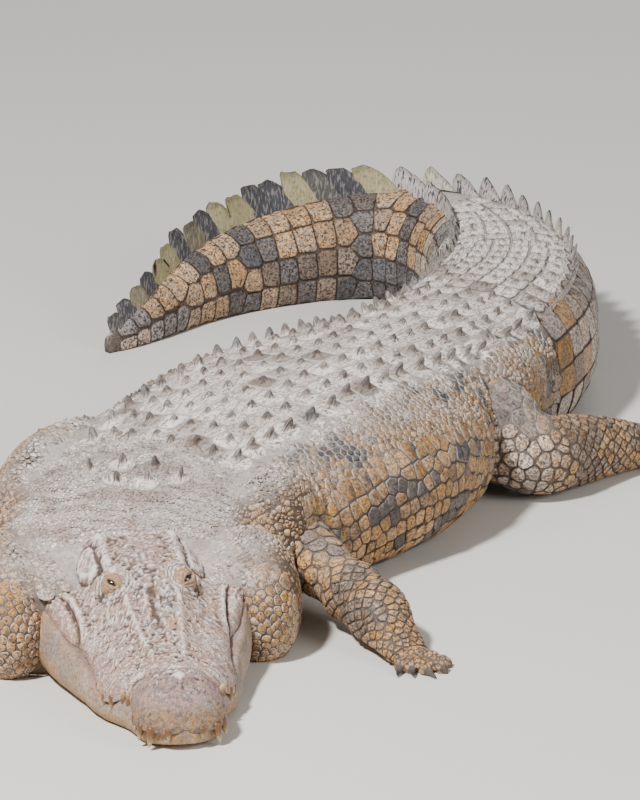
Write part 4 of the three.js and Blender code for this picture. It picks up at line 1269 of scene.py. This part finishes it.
class OBJECT_OT_crocodile_eyes(bpy.types.Operator):
    """Two eyeballs: spheres whose rings run round the way that the eye looks."""
    bl_idname = "object.crocodile_eyes"
    bl_label = "Eyes"

    def execute(self, context):
        for hand, name in ((1, "eye_left"), (-1, "eye_right")):
            centre, gaze, slit, rise = gaze_frame(hand)
            polar, lon = np.meshgrid(np.linspace(0.02, np.pi - 0.02, 30),
                                     np.linspace(0, 2 * np.pi, 40, endpoint=False), indexing="ij")
            flat = slit * np.cos(lon)[..., None] + rise * np.sin(lon)[..., None]
            way = gaze * np.cos(polar)[..., None] + flat * np.sin(polar)[..., None]
            points = centre + way * EYE_RADIUS * MM
            off_slit = np.abs(np.sin(polar) * np.cos(lon)) / 0.2
            cells = np.stack([off_slit, polar / 1.2, 0 * polar, 0 * polar], -1)
            vertices, faces, cells, _ = closed_tube(points, cells, cells)
            faces = outward(vertices, faces)
            ball = build_mesh(name + "_ball", vertices, faces, None, cells, material("eye"))
            finish_piece(ball, "eye", name)
        return {"FINISHED"}


def curved_cones(roots, directions, lengths, radii, bend, rings=9, sides=10):
    """Cones that curve: radius falls with the root of the share left, and the tip is moved by the bend."""
    share = np.linspace(0, 1, rings)[None, :, None, None]
    angle = (np.arange(sides) / sides * 2 * np.pi)[None, None, :, None]
    way = unit(directions)[:, None, None]
    first = unit(np.cross(way, np.array([0.3, 0.1, 1.0]) + 0 * way))
    second = np.cross(way, first)
    length, radius = lengths[:, None, None, None], radii[:, None, None, None]
    middle = roots[:, None, None] + way * share * length + bend[:, None, None] * share ** 2
    size = radius * np.clip(1 - share ** 1.7, 0.03, 1) ** 0.75
    points = middle + size * (first * np.cos(angle) + second * np.sin(angle))
    count = len(roots)
    faces = copies(stack_faces(rings, sides), count, rings * sides)
    cells = np.broadcast_to(np.concatenate([0 * share, 1 - share, 0 * share, 0 * share], -1),
                            (count, rings, sides, 4)).reshape(-1, 4)
    vertices = points.reshape(-1, 3)
    return vertices, outward(vertices, faces), cells


def horn_piece(name, look, cones, *nodes):
    """One piece of curved cones, laid flat where they would reach below the floor."""
    vertices, faces, cells = cones
    vertices[:, 2] = np.maximum(vertices[:, 2], FLOOR)
    finish_piece(build_mesh(name, vertices, faces, None, cells, material(look)), "claw_horn", *nodes)


class OBJECT_OT_crocodile_teeth(bpy.types.Operator):
    """The teeth that show with the mouth shut: curved cones along both lips."""
    bl_idname = "object.crocodile_teeth"
    bl_label = "Teeth"

    def execute(self, context):
        roots, ways, lengths, radii = [], [], [], []
        for hand in (1, -1):
            for table, down in ((UPPER_TEETH, 1), (LOWER_TEETH, -1)):
                for back, length in table:
                    q = np.sqrt(back + 27)
                    edge = upper_jaw if down == 1 else lambda q: 0.93 * lower_jaw(q)
                    slope = np.array([curve(q + 0.05) - curve(q - 0.05) for curve in (head_back, edge)])
                    rear, out = unit(np.array([-slope[1], slope[0]]))
                    root = back - 5 * rear, edge(q) - 5 * out
                    roots.append(place(root[0] * MM, hand * root[1] * MM, (mouth_line(q) + 9 * down) * MM))
                    turn = HEAD_TURN
                    ways.append([0.25 * (rear * math.sin(turn) + hand * out * math.cos(turn)),
                                 0.25 * (rear * math.cos(turn) - hand * out * math.sin(turn)), -down])
                    lengths.append((length + 9) * MM)
                    radii.append((6.2 + 0.1 * length) * MM)
        roots, ways = np.array(roots), np.array(ways, float)
        bend = ways * 0 + np.array([0, 3 * MM, 0])
        horn_piece("teeth", "tooth", curved_cones(roots, ways, np.array(lengths), np.array(radii), bend))
        return {"FINISHED"}


class OBJECT_OT_crocodile_claws(bpy.types.Operator):
    """Three claws on each foot: cones that curve down to the floor."""
    bl_idname = "object.crocodile_claws"
    bl_label = "Claws"

    def execute(self, context):
        toes = [toe_direction(leg, index) for leg in LEGS.values() for index in range(CLAW_COUNT)]
        ways = np.array([way for _, way, _, _ in toes])
        roots = np.array([root + way * (length - 5 * MM) for root, way, length, _ in toes])
        roots[:, 2] = 9.5 * MM
        count = len(toes)
        bend = np.tile([0, 0, -7 * MM], (count, 1))
        lengths, radii = np.full(count, (CLAW_LENGTH + 4) * MM), np.full(count, CLAW_RADIUS * MM)
        cones = curved_cones(roots, ways + [0, 0, 0.06], lengths, radii, bend, 12, 12)
        names = [f"{leg}_claw_{n + 1}" for leg in LEGS for n in range(CLAW_COUNT)]
        horn_piece("claws", "claw", cones, *names)
        return {"FINISHED"}


def single_start(i):
    """Distance at which a single blade starts: the blades grow shorter towards the tip."""
    share = i / SINGLE
    return (CREST_MEET + (CREST_END - CREST_MEET) * share * (1.28 - 0.28 * share)) * MM


def crest_blades():
    """Start, end, side, height, outward lean and rearward sweep of every blade."""
    rows = []
    for i in range(PAIRED):
        start = CREST_START * MM + i * PAIR_PITCH
        grown = i / (PAIRED - 1)
        for hand in (1, -1) if i < PAIRED - 1 else (1,):
            spread = hand * float(spread_at(start + PAIR_PITCH / 2))
            low = (16 + 46 * grown) * MM
            rows.append((start, start + PAIR_PITCH, spread, low, hand * 0.45 * (1 - grown), 0.16))
    rise = smooth_curve([r[0] for r in SINGLE_RISE], [r[1] for r in SINGLE_RISE])
    for i in range(SINGLE):
        rows.append((single_start(i), single_start(i + 1), 0, float(rise(i)) * MM, 0, 0.62))
    return np.array(rows).T


def back_height(s, side):
    """Height of the solids' upper surface at a side distance: the superellipse of the section."""
    level = WIDEST * top_at(s)
    rest = np.clip(1 - np.abs(side / half_at(s)) ** power_at(s), 0, 1)
    return level + (top_at(s) - level) * rest ** (1 / power_at(s))


class OBJECT_OT_crocodile_crests(bpy.types.Operator):
    """Blades of the tail crests: lens-shaped sections between two swept edges, stacked from root to tip."""
    bl_idname = "object.crocodile_crests"
    bl_label = "Crests"

    def execute(self, context):
        start, end, side, rise, lean, sweep = (column[:, None, None] for column in crest_blades())
        count, levels, around = len(start), 11, 22
        rng = np.random.default_rng(5)
        h = np.linspace(0, 1, levels)[None, :, None]
        angle = (np.arange(around) / around * 2 * np.pi)[None, None]
        length = 1.45 * (end - start)
        across = 0.5 - 0.5 * np.cos(angle)
        ragged = 1 - 0.07 * np.abs(np.sin(across * 7 + 9 * rng.uniform(0, 1, (count, 1, 1))))
        front, rear = (0.7 - across) / 0.7, (across - 0.7) / 0.33
        power = np.where(side == 0, 5.0, 1.15)
        shape = np.where(front > 0, 1 - np.abs(front) ** power, 1 - 0.75 * np.abs(rear) ** 3)
        top = (0.1 + 0.9 * shape) * ragged
        x = across + (0.05 + sweep) * (h * top) ** 1.2 - 0.1 * across * h ** 6
        ripple = 1 + 0.16 * np.sin(x * 19 + 5 * rng.uniform(0, 1, (count, 1, 1))) * h
        lens = np.sign(np.sin(angle)) * np.abs(np.sin(angle)) ** 0.7
        thick = (6.5 * MM * (1 - h) ** 0.7 + 1.6 * MM) * lens * ripple
        curl = rng.normal(0, 0.05, (count, 1, 1)) * rise * h ** 2
        s = start + x * length
        height = -12 * MM + (rise + 12 * MM) * h * top * rng.uniform(0.93, 1.06, (count, 1, 1))
        y = side + np.maximum(height, 0) * lean + thick + curl
        points = place(s, y, back_height(s, side) - COAT_DEPTH + height)
        faces = copies(stack_faces(levels, around), count, levels * around)
        single = (side == 0) + 0 * x
        chance = rng.uniform(0, 1, (count, 1, 1)) * np.where(side == 0, 1, 0.6) + 0 * x
        cells = np.stack([chance, h + 0 * x, 0.9 - 0.75 * single, 0 * x], -1).reshape(-1, 4)
        vertices = points.reshape(-1, 3)
        around_at = 0.5 + 0.2 * np.sign(side) + 0.12 * h + 0 * s
        chart = np.stack([0.01 + 0.98 * s / (TAIL_TIP * MM), around_at], -1)
        piece = build_mesh("crest_blades", vertices, outward(vertices, faces), None, cells, material("crest"),
                           chart.reshape(-1, 2))
        finish_piece(piece, "flank_skin")
        return {"FINISHED"}


def even_rows(low, high, pitch):
    """Middles of whole rows of about the given pitch."""
    count = max(1, round((high - low) / pitch))
    return low + (np.arange(count) + 0.5) * (high - low) / count


def back_keel(x, y):
    """Keel of a back plate: a low ridge that climbs to a blunt horn and breaks off steeply behind it."""
    ridge = 0.18 * np.exp(-(y / 0.22) ** 2) * ease(-0.95, -0.3, x) * ease(0.9, 0.6, x)
    length = np.where(x < 0.14, 0.52, 0.3)
    horn = np.clip(1 - ((x - 0.14) / length) ** 2 - (y / 0.27) ** 2, 0, 1) ** 0.6 * (0.75 + 0.4 * x)
    return sizes().keel * (ridge + horn)


NUCHALS = ((0.775, 0.030), (0.775, -0.030), (0.835, 0.034), (0.835, -0.034), (0.81, 0.095), (0.81, -0.095))


class OBJECT_OT_crocodile_back(bpy.types.Operator):
    """Keeled plates of nape, back and the top of the tail."""
    bl_idname = "object.crocodile_back"
    bl_label = "Back plates"

    def execute(self, context):
        rows = even_rows(0.935, CREST_START * MM - 10 * MM, sizes().back_pitch)
        rng = np.random.default_rng(8)
        column = np.arange(8) - 3.5
        width = sizes().back_width * (0.86 + 0.14 * ease(0.9, 1.3, rows)) * (1 - 0.12 * ease(1.7, 2.15, rows))
        distance = column[None] * width[:, None]
        s = rows[:, None] + (np.arange(8) % 2 - 0.5)[None] * 10 * MM + 0 * distance
        phi = body_angles(rows, distance)
        s = s + rng.normal(0, 3 * MM, s.shape)
        phi = phi + rng.normal(0, 0.008, s.shape)
        u, v = s.ravel(), phi.ravel()
        tall = 0.85 + 0.6 * (np.abs(column) > 3) - 0.2 * (np.abs(column) < 1)
        tall = np.broadcast_to(tall, s.shape).ravel()[:, None]
        body_coat("back_plates", (u, v), "back", "back_skin", thick=1.4 * MM, groove=1.4 * MM, reach=38 * MM,
                  sides=24, crease=0.6, profile=BACK_PLATE, corner=5, tilt=0.012, seed=2,
                  keel=lambda x, y: tall * back_keel(x, y))
        nape = np.array(NUCHALS)
        phi = body_angles(nape[:, 0], nape[:, 1:])[:, 0]
        body_coat("nape_plates", (nape[:, 0], phi), "back", "back_skin", thick=6 * MM, groove=1 * MM,
                  reach=np.array([30, 30, 30, 30, 22, 22]) * MM, sides=24, crease=0.5, profile=BACK_PLATE,
                  keel=lambda x, y: 1.2 * back_keel(x, y), seed=3)
        self.tail_top()
        return {"FINISHED"}

    @staticmethod
    def tail_top():
        """Plates between the two crests: the same count in every whorl until the crests close in."""
        u, v = [], []
        for i in range(PAIRED - 3):
            s = CREST_START * MM + (i + 0.5) * PAIR_PITCH
            spread = float(spread_at(s)) - 11 * MM
            count = 6 if spread > 0.12 else 4 if spread > 0.07 else 2
            distance = (even_rows(-spread, spread, 2 * spread / count))[None]
            phi = body_angles(np.array([s]), distance)[0]
            u.extend([s] * count)
            v.extend(phi)
        body_coat("tail_top_plates", (np.array(u), np.array(v)), "back", "back_skin", thick=2.4 * MM,
                  groove=2.2 * MM, reach=46 * MM, sides=24, crease=0.05, profile=BACK_PLATE, corner=16,
                  tilt=0.03, keel=lambda x, y: 0.4 * back_keel(x, y) + 3 * MM * ease(-0.3, 0.8, x), seed=4)


SIDES = ((1, "left"), (-1, "right"))
# Ranges of the neck's and the trunk's side scales along the midline.
NECK, TRUNK = (0.447, 0.975), (0.97, 2.155)
# Lines of scales down a flank, and how many of them are loose seeds instead of lines.
FLANK_LINES, LOOSE_LINES = 13, 4
# Numbers of seeds.
NECK_SEEDS, FLANK_SEEDS, JOWL_SEEDS, THIGH_SEEDS = 2100, 780, 84, 210


def one_side(hand, limit):
    """Range of angles from the top to a limit on one side."""
    return (0.0, limit) if hand == 1 else (-limit, 0.0)


def above_floor(surface):
    """Share of seeds to keep: 1 where a surface is clear of the floor, 0 where it lies on it."""
    return lambda u, v: (surface(u, v)[..., 2] > 2 * MM) + 0.0


class OBJECT_OT_crocodile_flanks(bpy.types.Operator):
    """Scales of both flanks: rounded and loose above, square and close below."""
    bl_idname = "object.crocodile_flanks"
    bl_label = "Flank scales"

    def execute(self, context):
        rng = np.random.default_rng(21)
        for hand, name in SIDES:
            rows = even_rows(*TRUNK, sizes().flank)
            first = 4.1 * sizes().back_width * (1 - 0.12 * ease(1.7, 2.15, rows))
            line = np.arange(FLANK_LINES)
            reach = 0.46 - 0.06 * ease(1.7, 2.15, rows)[:, None]
            lower = first[:, None] + reach * (line + 0.5) / FLANK_LINES
            phi = body_angles(rows, hand * lower)
            s = np.repeat(rows[:, None], FLANK_LINES, 1)
            s = s + (line % 2)[None] * sizes().flank * 0.3
            low = ease(0.35, 0.75, line / (FLANK_LINES - 1))[None] + 0 * s
            s = s + rng.normal(0, 1, s.shape) * (4.5 - 2.5 * low) * MM
            phi = phi + rng.normal(0, 1, s.shape) * (0.016 - 0.007 * low)
            along = np.arange(0.95, 2.18, 0.01)
            rim = [np.interp(along, rows, np.abs(phi[:, k])) for k in (0, LOOSE_LINES)]

            def keep(s, phi):
                """The loose upper part, as far down as the first rows of square scales."""
                inner, outer = (np.interp(s, along, edge) for edge in rim)
                return (np.abs(phi) > inner - 0.04) * (np.abs(phi) < outer - 0.02) * (s > 0.975)
            top = spread_seeds(body, (0.975, 2.15), one_side(hand, 1.9), lambda s, phi: 15 * MM + 0 * s,
                               FLANK_SEEDS, 23, keep)
            bump = rng.uniform(0, 1, len(top[0])) < 0.2
            body_coat(f"flank_upper_scales_{name}", top, thick=2.4 * MM, groove=1.2 * MM, reach=15 * MM,
                      sides=12, profile=GRAIN, crease=0.85, corner=5, keel=knobs(bump, 6 * MM, 0.3), seed=24)
            good = (np.abs(phi) < 2.25) & (line[None] >= LOOSE_LINES)
            knob = (rng.uniform(0, 1, s.shape) < 0.35 * (1 - low))[good]
            body_coat(f"flank_scales_{name}", (s[good], phi[good]), groove=np.array([0.4, 3.0]) * MM,
                      thick=sizes().thickness * (0.8 + 0.2 * low[good]), reach=30 * MM, sides=24,
                      crease=0.35 - 0.33 * low[good], corner=24, keel=knobs(knob, 7 * MM, 0.2), seed=22)
        return {"FINISHED"}


class OBJECT_OT_crocodile_neck(bpy.types.Operator):
    """Grains of the nape and rounded scales of the jowls, which grow larger down the side."""
    bl_idname = "object.crocodile_neck"
    bl_label = "Neck scales"

    def execute(self, context):
        def size(s, phi):
            """Distance between seeds: grains on the nape, larger scales down the jowl."""
            jowl = ease(0.85, 1.35, np.abs(phi)) * ease(0.95, 0.8, s)
            return sizes().nape + (sizes().jowl - sizes().nape) * np.maximum(jowl, 0.55 * ease(0.78, 0.98, s))

        def keep(s, phi):
            """Nape, sides and jowls, without the part on top that the skull covers."""
            covered = (s <= 0.60) & (np.abs(phi) <= 1.0)
            return (s > NECK[0]) * (s < NECK[1]) * (np.abs(phi) < 1.98) * ~covered

        for lobe, (hand, name) in zip(LOBES, SIDES):
            front, marks = jowl_front(lobe)
            seeds = spread_seeds(front, (0.04, 0.74), (-3.1, 3.1), lambda u, v: 21 * MM + 0 * u,
                                 JOWL_SEEDS, 43, above_floor(front))
            scale_coat(f"jowl_front_scales_{name}", front, marks, seeds, material("scale"),
                       lambda a, b: np.stack([a / 1.5, 0.5 + b / 7], -1), "back_skin", thick=2.6 * MM,
                       groove=1.4 * MM, reach=24 * MM, sides=14, profile=GRAIN, crease=0.8, corner=6, seed=44,
                       step=4e-3)
            u, v = spread_seeds(body, NECK, one_side(hand, 2.0), size, NECK_SEEDS, 41, keep)
            large = ease(13 * MM, 24 * MM, size(u, v))
            body_coat(f"neck_scales_{name}", (u, v), slot="back_skin", thick=(1.9 + 1.1 * large) * MM,
                      groove=1.4 * MM, reach=1.1 * size(u, v), sides=12, profile=GRAIN,
                      crease=0.05 + 0.75 * large, corner=5, seed=42)
        return {"FINISHED"}


class OBJECT_OT_crocodile_tail(bpy.types.Operator):
    """Whorls of square plates down both sides of the tail, one whorl for each blade of the crest."""
    bl_idname = "object.crocodile_tail"
    bl_label = "Tail plates"

    def execute(self, context):
        ends = [CREST_START * MM + i * PAIR_PITCH for i in range(PAIRED)]
        ends = np.array(ends + [single_start(i) for i in range(SINGLE + 1)])
        s = (ends[1:] + ends[:-1]) / 2
        first = np.where(s < CREST_MEET * MM, spread_at(s) + 9 * MM, 8 * MM)
        flat = body(s[:, None], np.linspace(0, np.pi, 200)[None])
        reach = np.linalg.norm(np.diff(flat, axis=1), axis=-1).cumsum(1)
        last = np.array([row[np.argmax(flat[i, 1:, 2] < 3 * MM)] for i, row in enumerate(reach)])
        rng = np.random.default_rng(31)
        for hand, name in SIDES:
            u, v, wide = [], [], []
            for i in range(len(s)):
                count = max(2, round((last[i] - first[i]) / (62 * MM)))
                distance = even_rows(first[i], last[i], (last[i] - first[i]) / count)
                phi = body_angles(s[i:i + 1], hand * distance[None])[0]
                u.extend([s[i]] * count)
                v.extend(phi)
                wide.extend([max(ends[i + 1] - ends[i], (last[i] - first[i]) / count)] * count)
            u, v = np.array(u), np.array(v)
            u = u + rng.normal(0, 1 * MM, u.shape) * ease(4.2, 4.0, u)
            v = v + rng.normal(0, 0.008, v.shape)
            body_coat(f"tail_plates_{name}", (u, v), thick=3.2 * MM, groove=1.2 * MM, sides=28, crease=0.0,
                      reach=0.85 * np.array(wide), profile=TAIL_PLATE, corner=30, tilt=0.03, seed=32)
        return {"FINISHED"}


def limb_seeds(surface, u_range, pitch, width, seed):
    """Seeds in rings a pitch apart along a limb, the scales of a ring a width apart and staggered."""
    line = np.linspace(*u_range, 200)
    middle = (surface(line, 0) + surface(line, np.pi)) / 2
    walked = np.concatenate([[0], np.cumsum(np.linalg.norm(np.diff(middle, axis=0), axis=1))])
    rng = np.random.default_rng(seed)
    u, v, at = [], [], 0.0
    ring = 0
    while at < walked[-1]:
        here = float(np.interp(at, walked, line))
        angle = np.linspace(-np.pi, np.pi, 121)
        rim = surface(here, angle)
        girth = np.concatenate([[0], np.cumsum(np.linalg.norm(np.diff(rim, axis=0), axis=1))])
        count = max(5, round(girth[-1] / width(here)))
        distance = (np.arange(count) + 0.5 * (ring % 2)) / count * girth[-1]
        v.extend(np.interp(distance, girth, angle) + rng.normal(0, 0.03, count))
        u.extend(here + rng.normal(0, 0.012, count))
        at += pitch(here)
        ring += 1
    return np.array(u), np.array(v)


# over the row number of a leg: pitch of its rings of scales and width of its scales, millimetres
LEG_SCALES = {
    "front": ((0, 1.4, 2.1, 4, 5.4), (34, 34, 16, 12, 9), (40, 40, 34, 26, 16)),
    "hind": ((0, 1.7, 2.3, 4, 5.4), (40, 40, 18, 15, 11), (42, 42, 34, 26, 16)),
}


class OBJECT_OT_crocodile_legs(bpy.types.Operator):
    """Plates of the upper legs, and the rings of narrow scales on the lower legs."""
    bl_idname = "object.crocodile_legs"
    bl_label = "Leg scales"

    def execute(self, context):
        for number, (name, leg) in enumerate(LEGS.items()):
            surface = limb_surface(leg[1])
            hind = name.startswith("hind")
            rows, *columns = LEG_SCALES[name.split("_")[0]]
            pitch, width = (smooth_curve(rows, np.array(column) * MM) for column in columns)
            u, v = limb_seeds(surface, (2.15 if hind else 0.05, 5.3), pitch, width, 50 + number)
            if hind:
                thigh = spread_seeds(surface, (0.05, 2.12), (-3.1, 3.1), lambda u, v: 40 * MM + 0 * u,
                                     THIGH_SEEDS, 70 + number, above_floor(surface))
                u, v = np.concatenate([u, thigh[0]]), np.concatenate([v, thigh[1]])
            high = above_floor(surface)(u, v) > 0
            u, v = u[high], v[high]
            wrapped = (v + np.pi) % (2 * np.pi) - np.pi
            smooth_top = hind * ease(2.3, 1.8, u) * ease(1.0, 0.6, leg[0] * wrapped)
            scale_coat(f"{name}_scales", surface, limb_marker(hind, leg[0]), (u, v), material("scale"),
                       strip_chart(number, 4, 5.5), thick=(2.8 - ease(3, 5, u) - smooth_top) * MM,
                       groove=np.array([2.4, 1.0]) * MM, reach=0.7 * np.maximum(pitch(u), width(u)), sides=16,
                       crease=0.05 + 0.3 * smooth_top, corner=5, seed=60 + number, step=2e-3)
        return {"FINISHED"}


class OBJECT_OT_crocodile_toes(bpy.types.Operator):
    """Beads and short plates over the toes."""
    bl_idname = "object.crocodile_toes"
    bl_label = "Toe scales"

    def execute(self, context):
        number = 0
        for name, leg in LEGS.items():
            for index in range(leg[2][0]):
                surface = toe_surface(leg, index)
                u, v = limb_seeds(surface, (0.25, 0.99), lambda u: 9.5 * MM, lambda u: 17 * MM, 80 + number)
                high = surface(u, v)[..., 2] > 1.5 * MM
                u, v = u[high], v[high]
                scale_coat(f"{name}_toe_{index + 1}_scales", surface, toe_marks, (u, v), material("scale"),
                           strip_chart(number, 18, 1.1), thick=1.8 * MM, groove=1.3 * MM, reach=11 * MM,
                           sides=10, profile=GRAIN, crease=0.1, seed=90 + number, step=2e-3)
                number += 1
        return {"FINISHED"}


# name, place (m), size (m) and power (W) of each light
LIGHTS = (
    ("key_light", (-3.4, -4.6, 7.0), 0.8, 1330.0),
    ("fill_light", (6.0, -5.0, 4.0), 4.0, 320.0),
    ("rim_light", (2.0, 7.0, 5.5), 4.0, 150.0),
)
LENS, CAMERA_PLACE, CAMERA_TILT = 299.52, (-0.02841, -13.71923, 4.66179), math.radians(72)
FLOOR_HALF, WORLD_COLOUR, WORLD_STRENGTH = 60.0, "#E9E7E4", 0.22


class OBJECT_OT_crocodile_stage(bpy.types.Operator):
    """Pale floor, soft studio lights and a long lens 18 degrees above the horizon."""
    bl_idname = "object.crocodile_stage"
    bl_label = "Stage"

    def execute(self, context):
        corners = FLOOR_HALF * np.array([[-1, -1, 0], [1, -1, 0], [1, 1, 0], [-1, 1, 0]])
        floor = build_mesh("floor", corners, [np.array([[0, 1, 2, 3]])], None, None, material("floor"))
        for name, spot, size, power in LIGHTS:
            light = bpy.data.lights.new(name, "AREA")
            light.size = size
            light.energy = power
            lamp = bpy.data.objects.new(name, light)
            lamp.location = spot
            aim = -np.array(spot, float)
            lamp.rotation_euler = (math.acos(aim[2] / np.linalg.norm(aim)) - math.pi, 0,
                                   math.atan2(aim[1], aim[0]) + math.pi / 2)
            context.scene.collection.objects.link(lamp)
        world = bpy.data.worlds.new("studio")
        world.use_nodes = True
        back = world.node_tree.nodes["Background"]
        back.inputs[0].default_value = linear(WORLD_COLOUR)
        back.inputs[1].default_value = WORLD_STRENGTH
        context.scene.world = world
        lens = bpy.data.cameras.new("long_lens")
        lens.lens = LENS
        lens.clip_end = 200
        camera = bpy.data.objects.new("camera", lens)
        camera.location = CAMERA_PLACE
        camera.rotation_euler = (CAMERA_TILT, 0, 0)
        context.scene.collection.objects.link(camera)
        context.scene.camera = camera
        return {"FINISHED"}


STEPS = (
    OBJECT_OT_crocodile_stage, OBJECT_OT_crocodile_skin, OBJECT_OT_crocodile_eyes,
    OBJECT_OT_crocodile_teeth, OBJECT_OT_crocodile_claws, OBJECT_OT_crocodile_crests,
    OBJECT_OT_crocodile_back, OBJECT_OT_crocodile_flanks, OBJECT_OT_crocodile_neck,
    OBJECT_OT_crocodile_tail, OBJECT_OT_crocodile_legs, OBJECT_OT_crocodile_toes,
)


class VIEW3D_PT_crocodile(bpy.types.Panel):
    """Lists the settings and the steps."""
    bl_label = "Crocodile"
    bl_idname = "VIEW3D_PT_crocodile"
    bl_space_type = "VIEW_3D"
    bl_region_type = "UI"
    bl_category = "Crocodile"

    def draw(self, context):
        for group in (context.scene.crocodile_scales, context.scene.crocodile_colours):
            for key in group.__annotations__:
                self.layout.prop(group, key)
        for step in STEPS:
            self.layout.operator(step.bl_idname)


CLASSES = (CrocodileColours, CrocodileScales, *STEPS, VIEW3D_PT_crocodile)


def register():
    """Registers the classes and the two groups of settings."""
    for cls in CLASSES:
        bpy.utils.register_class(cls)
    bpy.types.Scene.crocodile_colours = bpy.props.PointerProperty(type=CrocodileColours)
    bpy.types.Scene.crocodile_scales = bpy.props.PointerProperty(type=CrocodileScales)


def unregister():
    """Removes the settings and the classes again."""
    del bpy.types.Scene.crocodile_scales
    del bpy.types.Scene.crocodile_colours
    for cls in reversed(CLASSES):
        bpy.utils.unregister_class(cls)


def main():
    """Registers the classes and runs every step."""
    register()
    for step in STEPS:
        group, name = step.bl_idname.split(".")
        getattr(getattr(bpy.ops, group), name)()


if __name__ == "__main__":
    main()
